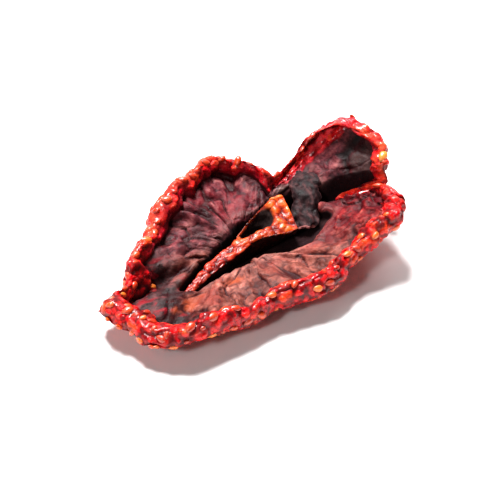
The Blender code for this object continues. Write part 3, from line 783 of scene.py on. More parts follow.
def body_relief(points, u, v, places):
    """Height of the fine relief at each point of the body, and the masks that colour it, some of them for
    painted shade and painted highlights.
    """
    flat = points.reshape(-1, 3)
    uf, vf = u.ravel(), v.ravel()
    direction, distances, _ = section(uf)
    angle = np.arctan2(direction[:, 1], direction[:, 0])
    far, _, crown, notch = zones(outline_at(uf), angle)
    distance = along_section(distances, vf, odd=True)
    pushed = flat + stir(flat, BEAD_STIR_SIZE, BEAD_STIR, (90, 91, 92))

    turned = angle + STRIP_RAGGED * noise(flat / (1.1 * MM), 40)
    strip = smooth_step(turned, *STRIP_FROM) * (1 - smooth_step(turned, *STRIP_TO))
    strip = strip * smooth_step(distance, *STRIP_OUT)
    edge = vf + RAGGED * noise(flat / (0.8 * MM), 41) + RAGGED_SLOW * noise(flat / (2.4 * MM), 42)
    edge = edge + STRIP_WIDENS * strip
    ragged = vf + RAGGED * noise(flat / (0.7 * MM), 66)
    flesh = smooth_step(vf, *FLESH_BEGINS) * (1 - smooth_step(vf, *FLESH_ENDS))
    skin = smooth_step(edge, *SKIN_BEGINS)
    floor = smooth_step(vf, *FLOOR_BEGINS) * (1 - smooth_step(vf, *FLOOR_ENDS))
    # Painted shade: the notch's crack is coloured near black along with the hollow.
    painted_notch_shade = bell(angle, NOTCH_ANGLE, SPLIT_WIDENS * NOTCH_SPREAD, 6) * (1 - smooth_step(vf, *SPLIT_ENDS))
    lobe = crown * (1 - smooth_step(angle, *LOBE_ENDS)) * flesh
    lipped = bell(ragged, *LIP_BAND) * mix(LEAST_LIP, 1.0, smooth_step(flat[:, 0], *LIP_FULL_FROM))
    saddle = bell(np.linalg.norm(flat - SADDLE, axis=1), 0.0, SADDLE_RADIUS, 4)
    patch, arc = shoulder_marks(flat, angle, flesh, notch)
    dusk, streak = tip_marks(flat)

    on_flesh, painted_crease_shade, crinkle = flesh_relief(flat, direction, distance, far)
    on_skin, bead, bead_tone, pit = skin_relief(flat, pushed, vf, places)
    on_floor = FLOOR_SWELL * noise(flat / FLOOR_SWELL_SIZE, 61)
    on_floor = on_floor - FLOOR_CREASE * creases(flat / FLOOR_CREASE_SIZE, 62, 2.0)
    layers = creases(pushed / LAYER_SIZES + 0.3 * bead_tone[:, None], 71, 1.6)
    strands = creases(flat / STRAND_SIZES, 93, 2.0)
    relief = on_flesh * flesh + on_skin * skin + on_floor * floor + GRAIN * noise(flat / GRAIN_SIZE, 46)
    relief = relief * (1 - 0.8 * notch) + LAYER * lobe * (layers - 0.4)
    relief = relief + ROLL * lipped - ARC_DEPTH * arc + STRAND * saddle * (strands - 0.4)
    shade = {
        # Painted highlight along the rim's crest.
        "crest": bell(vf, *CREST_BAND),
        # Painted shade at the rim's inner foot, partly the skin's own deeper crimson.
        "foot": bell(edge, *FOOT_BAND),
        # Painted highlight: paler along the rolled lip.
        "lipped": lipped,
        "saddle": saddle,
        "strands": strands,
        "strip": strip,
        "lobe": lobe,
        "layers": layers,
        "patch": patch,
        "arc": arc,
        "dusk": dusk,
        "streak": streak,
        "skin": skin,
        # Painted shade: near black in the hollow and along the notch's crack.
        "hollow": np.maximum(1 - smooth_step(ragged, *HOLLOW_ENDS), painted_notch_shade),
        # Painted shade: the flesh is darker in its creases.
        "painted_crease_shade": painted_crease_shade * flesh,
        # Painted shade: the flesh is darker in its crinkles.
        "crinkle": crinkle,
        # For a painted highlight: the skin is lighter where the beads stand high.
        "bead": bead,
        "bead_tone": bead_tone,
        "far": far,
        # For painted shade: the skin is darker in the seeds' pits.
        "pit": pit,
    }
    return relief.reshape(u.shape), {k: m.reshape(u.shape) for k, m in shade.items()}


def make_body(material, places, shift):
    """The slice itself: the surface on a fine grid, pushed out along its normals by the relief."""
    share = np.interp(np.linspace(0, 1, FINE_ROWS + 2)[1:-1], ROW_PLACES, ROW_SHARES)
    points, u, v = surface_grid(FINE_SIDES, share)
    normal = normals_of(blurred(points, 2))
    relief, shade = body_relief(points, u, v, places)
    fine = points + normal * relief[..., None]
    fine[..., 2] = np.maximum(fine[..., 2], 0.0)
    fine = fine + shift
    flat, faces = capped_grid(fine)
    piece = new_piece("slice", flat, faces, material, {k: with_poles(m) for k, m in shade.items()})
    return piece, fine.reshape(-1, 3), normal.reshape(-1, 3)


# Core ridge

def core_surface(t, turn):
    """Points of the core ridge: t runs along it, turn round its section, a cupped top over a deep keel."""
    top = open_spline(CORE_LINE, t)
    half = open_spline(CORE_HALF_WIDTHS, t)
    before, after = np.maximum(t - 0.01, 0.0), np.minimum(t + 0.01, 1.0)
    ahead = open_spline(CORE_LINE, after) - open_spline(CORE_LINE, before)
    ahead = ahead[:, :2] / np.linalg.norm(ahead[:, :2], axis=1)[:, None]
    side = np.stack([-ahead[:, 1], ahead[:, 0]], -1)
    spread = np.cos(turn)
    rise = np.sin(turn)
    cupped = smooth_step(t, *CUP_FROM) * (1 - smooth_step(t, *CUP_TO))
    depth = np.where(rise > 0, CORE_ROUND, top[:, 2] - CORE_FOOT)
    keel = np.where(rise > 0, 1.0, 1.0 - CORE_TAPER * rise**2)
    deep = cupped * np.exp(-(((spread - CUP_ASIDE) / CUP_SPREAD) ** 2)) * smooth_step(rise, 0.0, 0.45)
    tilt = PADDLE_TILT * smooth_step(t, *PADDLE_FROM) * half * spread * smooth_step(rise, -0.5, 0.5)
    height = top[:, 2] + rise * depth - CUP_DEPTH * deep + tilt
    plan = top[:, :2] + side * (half * spread * keel)[:, None]
    return warped(np.concatenate([plan, height[:, None]], axis=1)) - [0.0, 0.0, BELLY_FLAT], deep


CORE_LUMP_SIZE = 1.0 * MM
CORE_LUMP = 0.30 * MM
CORE_STIR = 0.40 * MM
CORE_STIR_SIZE = 0.9 * MM
CORE_STRIPE_SIZES = MM * np.array([2.6, 0.7, 0.9])
CORE_STRIPE = 0.12 * MM
CORE_GRAIN_SIZE = 0.35 * MM
CORE_GRAIN = 0.03 * MM
CORE_SMOOTH_END = 0.03


def make_core_ridge(material, shift):
    """The paler core that stands up in the hollow: bumpy on top, with a cup near the crown end."""
    turn = 2.0 * np.pi * np.arange(CORE_SIDES) / CORE_SIDES
    t, turn = np.meshgrid(np.linspace(0.0, 1.0, CORE_ROWS), turn, indexing="ij")
    flat, deep = core_surface(t.ravel(), turn.ravel())
    normal = -normals_of(flat.reshape(CORE_ROWS, CORE_SIDES, 3)).reshape(-1, 3)
    gap, _ = lumps((flat + stir(flat, CORE_STIR_SIZE, CORE_STIR, (95, 96, 97))) / CORE_LUMP_SIZE, 70)
    bump = dome(gap)
    stripe = creases(flat / CORE_STRIPE_SIZES, 72, 2.0)
    above = smooth_step(np.sin(turn.ravel()), -0.5, 0.2)
    relief = CORE_LUMP * (bump - 0.45) * above - CORE_STRIPE * stripe
    relief = relief + CORE_GRAIN * noise(flat / CORE_GRAIN_SIZE, 73)
    ends = smooth_step(t, 0.0, CORE_SMOOTH_END) * (1 - smooth_step(t, 1 - CORE_SMOOTH_END, 1.0))
    fine = (flat + normal * (relief * ends.ravel())[:, None]).reshape(CORE_ROWS, CORE_SIDES, 3)
    shade = {
        # deep and keel: painted shade, near black in the cup and on the keel; bump: a painted highlight on
        # the lumps; stripe: painted shade in the grooves.
        "deep": deep,
        "bump": bump,
        "stripe": stripe,
        "crownward": t,
        "keel": smooth_step(-np.sin(turn), -0.35, 0.25),
    }
    points, faces = capped_grid(fine + shift)
    shade = {k: with_poles(m.reshape(t.shape)) for k, m in shade.items()}
    return new_piece("core_ridge", points, faces, material, shade)


# Torn flesh beside the core's end

# Points along its middle, with its half width at each, and the direction of its width.
TONGUE_MIDDLES = MM * np.array([
    (10.2, 6.2, 4.6),
    (9.3, 5.2, 4.8),
    (8.4, 3.9, 4.8),
    (7.5, 2.4, 4.2),
    (6.6, 0.9, 3.5),
    (5.9, -0.5, 2.9),
])
TONGUE_HALF_WIDTHS = MM * np.array([2.4, 2.1, 1.75, 1.6, 1.55, 1.45])
TONGUE_SIDEWAYS = np.array([0.93, -0.36, 0.05])
TONGUE_THICKNESS = 0.30 * MM
TONGUE_TROUGH = 0.55 * MM
TONGUE_WAVE_SIZE = 1.4 * MM
TONGUE_WAVE = 0.45 * MM
TONGUE_CRINKLE_SIZE = 0.5 * MM
TONGUE_CRINKLE = 0.14 * MM
TONGUE_ROWS = 110
TONGUE_SIDES = 72

# The ragged free end: how far it frays, in which direction, and from where on along the tongue.
FRAY = 0.20
FRAY_TOWARDS = MM * np.array([-0.5, -0.8, -0.1])
FRAY_FROM = 0.7


def make_tongue(material, shift):
    """A thin torn tongue of flesh from the saddle down into the hollow: a flattened, troughed tube along a
    curve, with uneven edges, a ragged free end and wrinkles."""
    t = np.linspace(0.0, 1.0, TONGUE_ROWS)
    turn = 2.0 * np.pi * np.arange(TONGUE_SIDES) / TONGUE_SIDES
    middle = open_spline(TONGUE_MIDDLES, t)
    half = open_spline(TONGUE_HALF_WIDTHS, t) * (1 - 0.3 * smooth_step(t, 0.93, 1.0))
    over = np.cross(TONGUE_SIDEWAYS, np.gradient(middle, axis=0))
    over = over / np.linalg.norm(over, axis=1, keepdims=True)
    spread = np.cos(turn)
    along, which_edge = np.meshgrid(7.0 * t, 1.5 * np.sign(spread), indexing="ij")
    edges = np.stack([along, which_edge, 0.0 * along], -1)
    reach = half[:, None] * spread * (1 + 0.22 * noise(edges, 83) + 0.10 * noise(edges * 2.7, 84))
    points = middle[:, None] + reach[..., None] * TONGUE_SIDEWAYS
    points = points + (TONGUE_TROUGH * (spread**2 - 0.5))[None, :, None] * over[:, None]
    thickness = TONGUE_THICKNESS * np.abs(np.sin(turn)) ** 0.6 * np.sign(np.sin(turn))
    points = points + 0.5 * thickness[None, :, None] * over[:, None]
    flat = points.reshape(-1, 3)
    wave = TONGUE_WAVE * noise(flat / TONGUE_WAVE_SIZE, 80)
    wave = wave + TONGUE_CRINKLE * noise(flat / TONGUE_CRINKLE_SIZE, 81)
    flat = flat + wave[:, None] * np.repeat(over, TONGUE_SIDES, axis=0)
    fray = FRAY * noise(np.stack([spread * 3.3 + 0.4, 0.0 * spread, 0.0 * spread], -1), 86)
    stretch = smooth_step(t, FRAY_FROM, 1.0)[:, None] * fray
    points = flat.reshape(points.shape) + stretch[..., None] * FRAY_TOWARDS
    fine, faces = capped_grid(points + shift)
    edge = np.maximum(np.abs(spread)[None, :] ** 12 * 0.5, smooth_step(t, 0.955, 0.985)[:, None])
    return new_piece("torn_tongue", fine, faces, material, {"edge": with_poles(edge)})


# Seeds as fine drops

DROP_ROWS = 8
DROP_SIDES = 10
DROP_THICKNESS = 0.56 * MM
DROP_LIFT = -0.02 * MM

# How the seeds vary in size and direction. The smaller seeds are a share of the size of the part's own, and
# duller. Seeds on the far side are redder, and those by the notch are painted nearly black as shade.
SIZE_SPREAD = 0.14
FILL_SIZE = 0.78
TURN_SPREAD = 0.45
FILL_BRIGHT = 0.6
FAR_DULL = 0.6
FAR_DULL_FROM = (0.0, 6.0 * MM)
NOTCH_SHADE_TO = (1.0 * MM, 2.4 * MM)


def drop_shape():
    """A seed on a grid: rings along its length, blunt at one end and pointed at the other, with a low
    keel; x along it, y across and z out, in shares of its sizes."""
    s = np.cos(np.pi * (np.arange(DROP_ROWS) + 0.5) / DROP_ROWS)
    turn = 2.0 * np.pi * np.arange(DROP_SIDES) / DROP_SIDES
    girth = np.sqrt(1 - s**2) * (1 - 0.28 * s) * (1 - 0.10 * np.abs(s))
    x = np.repeat(0.5 * s[:, None] * (1 + 0.06 * (s[:, None] > 0)), DROP_SIDES, 1)
    y = 0.5 * girth[:, None] * np.cos(turn)
    z = 0.5 * girth[:, None] * np.sin(turn) * (1 + 0.18 * (np.sin(turn) > 0.9))
    return np.stack([x, y, z], -1)


def make_seeds(material, places, own, surface, normals, shift):
    """All the seeds in one piece. Each lies in its pit, turned towards the tip, and those between the
    part's own are smaller."""
    count = len(places)
    is_own = np.arange(count) < own
    drop, faces = capped_grid(drop_shape())
    draw = np.random.default_rng(5)
    size = 1 + SIZE_SPREAD * draw.standard_normal(count).clip(-1.5, 1.5)
    size = np.where(is_own, 1.0, FILL_SIZE) * size
    nearest = np.array([np.argmin(((surface - shift - p) ** 2).sum(1)) for p in places])
    centre = surface[nearest]
    outward = normals[nearest]
    towards = SEED_TOWARDS + TURN_SPREAD * draw.standard_normal((count, 3))
    ahead = towards - outward * (outward * towards).sum(1, keepdims=True)
    ahead = ahead / np.linalg.norm(ahead, axis=1, keepdims=True)
    side = np.cross(outward, ahead)
    proud = np.minimum(1.0, centre[:, 2] / SEED_PROUD_FROM)
    sizes = np.array([SEED_LENGTH, SEED_WIDTH, DROP_THICKNESS])
    local = drop[None] * sizes * size[:, None, None]
    lift = (DROP_LIFT * size - (1 - proud) * 0.5 * DROP_THICKNESS)[:, None, None]
    points = centre[:, None] + local[..., :1] * ahead[:, None] + local[..., 1:2] * side[:, None]
    points = points + (local[..., 2:] + lift) * outward[:, None]
    points[..., 2] = np.maximum(points[..., 2], 0.0)
    first = np.arange(count)[:, None, None] * len(drop)
    all_faces = []
    for corners in (4, 3):
        alike = np.array([f for f in faces if len(f) == corners])
        all_faces += (first + alike).reshape(-1, corners).tolist()
    dull = FAR_DULL * smooth_step(places[:, 1], *FAR_DULL_FROM)
    bright = draw.random(count) * np.where(is_own, 1.0, FILL_BRIGHT) * (1 - dull)
    # Painted shade: seeds by the notch are made nearly black.
    from_notch = np.linalg.norm(places[:, :2] - NOTCH_PLACE, axis=1)
    bright = bright + 2.0 * (smooth_step(from_notch, *NOTCH_SHADE_TO) - 1)
    shade = {"tone_and_notch_shade": np.repeat(bright, len(drop)), "tip_end": np.tile(drop[:, 0] + 0.5, count)}
    return new_piece("seeds", points.reshape(-1, 3), all_faces, material, shade)


# Materials

def start_material(name):
    material = bpy.data.materials.new(name)
    material.use_nodes = True
    tree = material.node_tree
    shader = tree.nodes["Principled BSDF"]
    coords = tree.nodes.new("ShaderNodeTexCoord").outputs["Object"]
    return material, tree, shader, coords


def noise_node(tree, coords, size, detail=5.0, roughness=0.55, stretch=(1, 1, 1), distortion=0.0):
    """Noise with features of the given size in metres, narrower along the directions stretched."""
    mapping = tree.nodes.new("ShaderNodeMapping")
    mapping.inputs["Scale"].default_value = stretch
    tree.links.new(coords, mapping.inputs["Vector"])
    node = tree.nodes.new("ShaderNodeTexNoise")
    node.inputs["Scale"].default_value = 1.0 / size
    node.inputs["Detail"].default_value = detail
    node.inputs["Roughness"].default_value = roughness
    node.inputs["Distortion"].default_value = distortion
    tree.links.new(mapping.outputs["Vector"], node.inputs["Vector"])
    return node.outputs["Fac"]


def stirred(tree, coords, size, amount):
    """The coordinates moved about by noise, so that what is drawn on them loses its regular look."""
    node = tree.nodes.new("ShaderNodeTexNoise")
    node.inputs["Scale"].default_value = 1.0 / size
    node.inputs["Detail"].default_value = 2.0
    tree.links.new(coords, node.inputs["Vector"])
    push = tree.nodes.new("ShaderNodeVectorMath")
    push.operation = "MULTIPLY_ADD"
    tree.links.new(node.outputs["Color"], push.inputs[0])
    push.inputs[1].default_value = (amount, amount, amount)
    tree.links.new(coords, push.inputs[2])
    return push.outputs["Vector"]


def cells_node(tree, coords, size):
    """Rounded cells of the given size: distance to the nearest middle, and a number for each cell."""
    node = tree.nodes.new("ShaderNodeTexVoronoi")
    node.inputs["Scale"].default_value = 1.0 / size
    tree.links.new(coords, node.inputs["Vector"])
    parts = tree.nodes.new("ShaderNodeSeparateColor")
    tree.links.new(node.outputs["Color"], parts.inputs["Color"])
    return node.outputs["Distance"], parts.outputs[0]


def value_of(tree, name):
    node = tree.nodes.new("ShaderNodeAttribute")
    node.attribute_name = name
    return node.outputs["Fac"]


def put(tree, socket, value):
    """Links an output to a socket, or sets a number or colour on it."""
    if isinstance(value, bpy.types.NodeSocket):
        tree.links.new(value, socket)
    else:
        socket.default_value = value


def ranged(tree, value, low, high, to_low=0.0, to_high=1.0):
    node = tree.nodes.new("ShaderNodeMapRange")
    node.interpolation_type = "SMOOTHSTEP"
    put(tree, node.inputs["Value"], value)
    for key, number in zip(("From Min", "From Max", "To Min", "To Max"), (low, high, to_low, to_high)):
        node.inputs[key].default_value = number
    return node.outputs["Result"]


def maths(tree, operation, a, b):
    node = tree.nodes.new("ShaderNodeMath")
    node.operation = operation
    put(tree, node.inputs[0], a)
    put(tree, node.inputs[1], b)
    return node.outputs[0]


def share_of(tree, name, share):
    """The named value times a number or an output."""
    return maths(tree, "MULTIPLY", value_of(tree, name), share)


def ramp(tree, value, stops):
    """Colours at places from 0 to 1, blended between them."""
    node = tree.nodes.new("ShaderNodeValToRGB")
    elements = node.color_ramp.elements
    while len(elements) < len(stops):
        elements.new(0.5)
    for element, (place, colour) in zip(elements, stops):
        element.position = place
        element.color = (*colour, 1.0)
    put(tree, node.inputs["Fac"], value)
    return node.outputs["Color"]


def blended_value(tree, share, a, b):
    node = tree.nodes.new("ShaderNodeMix")
    put(tree, node.inputs[0], share)
    put(tree, node.inputs[2], a)
    put(tree, node.inputs[3], b)
    return node.outputs[0]


def blended(tree, share, a, b, how="MIX"):
    node = tree.nodes.new("ShaderNodeMix")
    node.data_type = "RGBA"
    node.blend_type = how
    put(tree, node.inputs["Factor"], share)
    put(tree, node.inputs[6], a if isinstance(a, bpy.types.NodeSocket) else (*a, 1.0))
    put(tree, node.inputs[7], b if isinstance(b, bpy.types.NodeSocket) else (*b, 1.0))
    return node.outputs[2]


def over(tree, below, name, low, high, most, colour):
    """The colour laid over what is below, by the named value: none up to the low, and most from the high."""
    return blended(tree, ranged(tree, value_of(tree, name), low, high, 0.0, most), below, colour)


def deepened(tree, colour, power):
    """The colour raised to a power: darker, and richer where it was pale."""
    node = tree.nodes.new("ShaderNodeGamma")
    node.inputs["Gamma"].default_value = power
    tree.links.new(colour, node.inputs["Color"])
    return node.outputs["Color"]


def bump_node(tree, height, distance, strength=1.0, under=None):
    node = tree.nodes.new("ShaderNodeBump")
    node.inputs["Strength"].default_value = strength
    node.inputs["Distance"].default_value = distance
    put(tree, node.inputs["Height"], height)
    if under is not None:
        tree.links.new(under, node.inputs["Normal"])
    return node.outputs["Normal"]


def glow(shader, weight, radius, scale):
    """Light that sinks a little way into the flesh."""
    shader.inputs["Subsurface Weight"].default_value = weight
    shader.inputs["Subsurface Radius"].default_value = radius
    shader.inputs["Subsurface Scale"].default_value = scale


def flesh_colour(tree, coords, far, mottle, patches):
    """Mauve-brown flesh, warmer on the near side, with the marks that the masks place on it, among them
    painted shade in creases, crinkles, the arc, between the lobe's layers and between the saddle's strands,
    and a painted highlight along the rolled lip.
    """
    far_flesh = ramp(tree, mottle, (
        (0.32, (0.022, 0.003, 0.006)), (0.44, (0.095, 0.018, 0.026)),
        (0.55, (0.205, 0.052, 0.062)), (0.68, (0.360, 0.145, 0.140))))
    near_flesh = ramp(tree, mottle, (
        (0.32, (0.080, 0.016, 0.012)), (0.46, (0.210, 0.072, 0.056)),
        (0.58, (0.350, 0.135, 0.108)), (0.72, (0.560, 0.270, 0.215))))
    to_far = ranged(tree, far, 0.35, 0.65)
    flesh = blended(tree, to_far, near_flesh, far_flesh)
    red = maths(tree, "MULTIPLY", ranged(tree, patches, 0.52, 0.68), 0.5)
    flesh = blended(tree, red, flesh, blended(tree, to_far, (0.300, 0.060, 0.048), (0.240, 0.016, 0.028)))
    flesh = blended(tree, ranged(tree, patches, 0.50, 0.34, 0.0, 0.55), flesh, (0.075, 0.032, 0.034))
    folds = ramp(tree, mottle, (
        (0.38, (0.100, 0.001, 0.006)), (0.49, (0.240, 0.004, 0.014)),
        (0.59, (0.320, 0.034, 0.036)), (0.71, (0.620, 0.220, 0.170))))
    flesh = blended(tree, share_of(tree, "lobe", 0.85), flesh, folds)
    # Painted shade: darker in the low places between the lobe's layers.
    between = share_of(tree, "lobe", ranged(tree, value_of(tree, "layers"), 0.65, 0.15))
    flesh = blended(tree, maths(tree, "MULTIPLY", between, 0.90), flesh, (0.110, 0.001, 0.010))
    flesh = blended(tree, share_of(tree, "patch", 0.85), flesh, (0.055, 0.040, 0.036))
    # Pale fibres on the saddle, with painted shade, near black, in the low gaps between them.
    strands = ranged(tree, value_of(tree, "strands"), 0.35, 0.75)
    strands_with_painted_shade = blended(tree, strands, (0.030, 0.012, 0.014), (0.330, 0.250, 0.240))
    flesh = blended(tree, share_of(tree, "saddle", 0.85), flesh, strands_with_painted_shade)
    # Painted shade: near black in the arc's groove.
    flesh = blended(tree, share_of(tree, "arc", 0.95), flesh, (0.008, 0.003, 0.003))
    # Painted highlight: paler along the rolled lip.
    flesh = blended(tree, share_of(tree, "lipped", 0.8), flesh, (0.480, 0.270, 0.240))
    dusky = ramp(tree, mottle, (
        (0.36, (0.006, 0.003, 0.004)), (0.50, (0.042, 0.020, 0.024)), (0.66, (0.150, 0.060, 0.064))))
    flesh = blended(tree, share_of(tree, "dusk", 0.92), flesh, dusky)
    lines = noise_node(tree, coords, 1.5 * MM, 3.0, 0.6, stretch=(0.45, 1.5, 1.5), distortion=0.5)
    lines = share_of(tree, "dusk", ranged(tree, lines, 0.53, 0.64))
    flesh = blended(tree, maths(tree, "MULTIPLY", lines, 0.75), flesh, (0.300, 0.008, 0.022))
    flesh = over(tree, flesh, "streak", 0.2, 0.9, 0.8, (0.420, 0.100, 0.040))
    # Painted shade: darker in the creases and crinkles.
    flesh = over(tree, flesh, "painted_crease_shade", 0.18, 0.85, 0.92, (0.040, 0.002, 0.005))
    return over(tree, flesh, "crinkle", 0.6, 1.0, 0.45, (0.04, 0.004, 0.006))


def skin_colour(tree, far, mottle, patches, speck, gap, cell, foot):
    """Bright red beads, painted lighter on their tops as a highlight and darker in the grooves between them
    as shade, orange on some, with painted glints and the marks of the masks.
    """
    # Painted highlight: the skin is lighter on the tops of the beads, besides its own mottle and cell tone.
    bead = value_of(tree, "bead")
    lit = maths(tree, "ADD", maths(tree, "MULTIPLY", bead, 0.42), maths(tree, "MULTIPLY", mottle, 0.38))
    lit = maths(tree, "ADD", lit, maths(tree, "MULTIPLY", cell, 0.30))
    skin = ramp(tree, lit, (
        (0.24, (0.080, 0.001, 0.003)), (0.42, (0.300, 0.001, 0.007)),
        (0.58, (0.640, 0.005, 0.014)), (0.72, (0.860, 0.034, 0.028)),
        (0.88, (0.900, 0.150, 0.060))))
    some = ranged(tree, value_of(tree, "bead_tone"), 0.60, 0.95)
    orange = maths(tree, "MULTIPLY", some, ranged(tree, bead, 0.25, 0.8))
    skin = blended(tree, maths(tree, "MULTIPLY", orange, 0.65), skin, (0.84, 0.13, 0.022))
    to_far = ranged(tree, far, 0.3, 0.8)
    # Painted shade: the skin is darker in the grooves between its cells.
    groove = blended(tree, to_far, (0.110, 0.001, 0.005), (0.240, 0.002, 0.010))
    skin = blended(tree, ranged(tree, gap, 0.42, 0.80, 0.0, 0.80), skin, groove)
    # Painted highlight: peach along the far rim's crest.
    painted_crest_highlight = maths(tree, "MULTIPLY", share_of(tree, "crest", to_far), ranged(tree, patches, 0.36, 0.56))
    skin = blended(tree, maths(tree, "MULTIPLY", painted_crest_highlight, 0.6), skin, (0.92, 0.150, 0.060))
    pink = share_of(tree, "strip", ranged(tree, mottle, 0.40, 0.62))
    skin = blended(tree, maths(tree, "MULTIPLY", pink, 0.80), skin, (0.95, 0.090, 0.110))
    # Partly the skin's own deeper crimson, partly painted shade at the rim's inner foot.
    skin = blended(tree, maths(tree, "MULTIPLY", foot, 0.75), skin, (0.340, 0.002, 0.022))
    # Painted shade: darker in the seeds' pits.
    skin = over(tree, skin, "pit", 0.25, 0.9, 0.6, (0.16, 0.004, 0.006))
    # Painted glints: pale flecks over the skin.
    return blended(tree, ranged(tree, speck, 0.62, 0.78, 0.0, 0.18), skin, (0.85, 0.20, 0.10))


def slice_material():
    """Mauve-brown wrinkled flesh on the cut face, bright red beaded skin round it, and painted shade, near
    black, in the hollow and the notch's crack.
    """
    material, tree, shader, coords = start_material("dried_flesh_and_skin")
    patches = noise_node(tree, coords, 4.5 * MM, 3.0, 0.6, distortion=0.6)
    mottle = noise_node(tree, coords, 1.3 * MM, 6.0, 0.62, distortion=0.4)
    speck = noise_node(tree, coords, 0.35 * MM, 4.0, 0.6)
    gap, cell = cells_node(tree, stirred(tree, coords, 0.9 * MM, 0.5 * MM), 0.85 * MM)
    far = value_of(tree, "far")
    on_skin = value_of(tree, "skin")
    foot = share_of(tree, "foot", ranged(tree, far, 0.2, 0.8))

    flesh = flesh_colour(tree, coords, far, mottle, patches)
    # Painted shade: the flesh is darker at the rim's inner foot, on the far side.
    flesh = blended(tree, maths(tree, "MULTIPLY", foot, 0.6), flesh, (0.110, 0.002, 0.008))
    skin = skin_colour(tree, far, mottle, patches, speck, gap, cell, foot)
    colour = blended(tree, on_skin, deepened(tree, flesh, 1.30), deepened(tree, skin, 1.25))
    # Painted shade: near black in the hollow and the notch's crack.
    colour = over(tree, colour, "hollow", 0.15, 0.95, 0.97, (0.006, 0.002, 0.003))
    tree.links.new(colour, shader.inputs["Base Color"])
    flesh_rough = ranged(tree, mottle, 0.3, 0.7, 0.40, 0.60)
    skin_rough = ranged(tree, gap, 0.25, 0.75, 0.22, 0.62)
    rough = blended_value(tree, on_skin, flesh_rough, skin_rough)
    rough = blended_value(tree, value_of(tree, "hollow"), rough, 0.95)
    tree.links.new(rough, shader.inputs["Roughness"])
    fine = bump_node(tree, speck, 0.10 * MM, 0.8)
    broad = bump_node(tree, mottle, 0.35 * MM, 0.7, under=fine)
    rounded = maths(tree, "MULTIPLY", ranged(tree, gap, 0.75, 0.05), on_skin)
    tree.links.new(bump_node(tree, rounded, 0.22 * MM, 0.8, under=broad), shader.inputs["Normal"])
    shader.inputs["Specular IOR Level"].default_value = 0.12
    tree.links.new(maths(tree, "MULTIPLY", on_skin, 0.30), shader.inputs["Coat Weight"])
    shader.inputs["Coat Roughness"].default_value = 0.14
    glow(shader, 0.10, (1.0, 0.22, 0.10), 0.0006)
    return material


def core_material():
    """Bright orange at the cupped end, redder towards the tip, painted lighter on the lumps' tops as a
    highlight, and painted shade: darker in the stripe grooves and near black in the cup and on the keel.
    """
    material, tree, shader, coords = start_material("dried_core")
    mottle = noise_node(tree, coords, 0.9 * MM, 5.0, 0.6, distortion=0.4)
    speck = noise_node(tree, coords, 0.25 * MM, 4.0, 0.6)
    # Painted highlight: the core is lighter on the tops of its lumps, besides its own mottle.
    lit = maths(tree, "ADD", share_of(tree, "bump", 0.5), maths(tree, "MULTIPLY", mottle, 0.6))
    bright = ramp(tree, lit, (
        (0.28, (0.15, 0.007, 0.003)), (0.48, (0.44, 0.045, 0.007)),
        (0.68, (0.68, 0.130, 0.014)), (0.92, (0.90, 0.320, 0.070))))
    dull = ramp(tree, lit, (
        (0.28, (0.060, 0.003, 0.003)), (0.48, (0.260, 0.012, 0.007)),
        (0.66, (0.500, 0.052, 0.020)), (0.90, (0.620, 0.150, 0.070))))
    colour = blended(tree, ranged(tree, value_of(tree, "crownward"), 0.38, 0.62), dull, bright)
    # Painted shade: darker in the stripe grooves.
    colour = over(tree, colour, "stripe", 0.4, 1.0, 0.55, (0.14, 0.006, 0.006))
    # Painted shade: near black in the cup.
    colour = over(tree, colour, "deep", 0.03, 0.25, 0.98, (0.012, 0.001, 0.001))
    # Painted shade: near black on the keel, down in the hollow.
    colour = over(tree, colour, "keel", 0.2, 0.75, 0.95, (0.018, 0.005, 0.005))
    tree.links.new(deepened(tree, colour, 1.35), shader.inputs["Base Color"])
    shader.inputs["Specular IOR Level"].default_value = 0.20
    rough = ranged(tree, mottle, 0.3, 0.7, 0.30, 0.5)
    rough = blended_value(tree, ranged(tree, value_of(tree, "deep"), 0.02, 0.12), rough, 0.9)
    tree.links.new(rough, shader.inputs["Roughness"])
    fine = bump_node(tree, speck, 0.08 * MM, 0.8)
    tree.links.new(bump_node(tree, mottle, 0.25 * MM, 0.7, under=fine), shader.inputs["Normal"])
    tree.links.new(ranged(tree, value_of(tree, "deep"), 0.02, 0.12, 0.25, 0.0), shader.inputs["Coat Weight"])
    shader.inputs["Coat Roughness"].default_value = 0.25
    glow(shader, 0.12, (1.0, 0.35, 0.12), 0.0005)
    return material


def tongue_material():
    """Dark grey flesh with a paler, pinkish edge."""
    material, tree, shader, coords = start_material("torn_flesh")
    mottle = noise_node(tree, coords, 1.4 * MM, 6.0, 0.66, stretch=(2.2, 0.9, 0.9), distortion=0.5)
    speck = noise_node(tree, coords, 0.25 * MM, 4.0, 0.6)
    colour = ramp(tree, mottle, (
        (0.36, (0.012, 0.005, 0.006)), (0.50, (0.046, 0.022, 0.025)), (0.68, (0.170, 0.080, 0.080))))
    colour = over(tree, colour, "edge", 0.25, 0.9, 0.75, (0.420, 0.180, 0.170))
    shader.inputs["Specular IOR Level"].default_value = 0.12
    tree.links.new(deepened(tree, colour, 1.35), shader.inputs["Base Color"])
    tree.links.new(ranged(tree, mottle, 0.3, 0.7, 0.45, 0.7), shader.inputs["Roughness"])
    fine = bump_node(tree, speck, 0.08 * MM, 0.8)
    tree.links.new(bump_node(tree, mottle, 0.20 * MM, 0.7, under=fine), shader.inputs["Normal"])
    return material


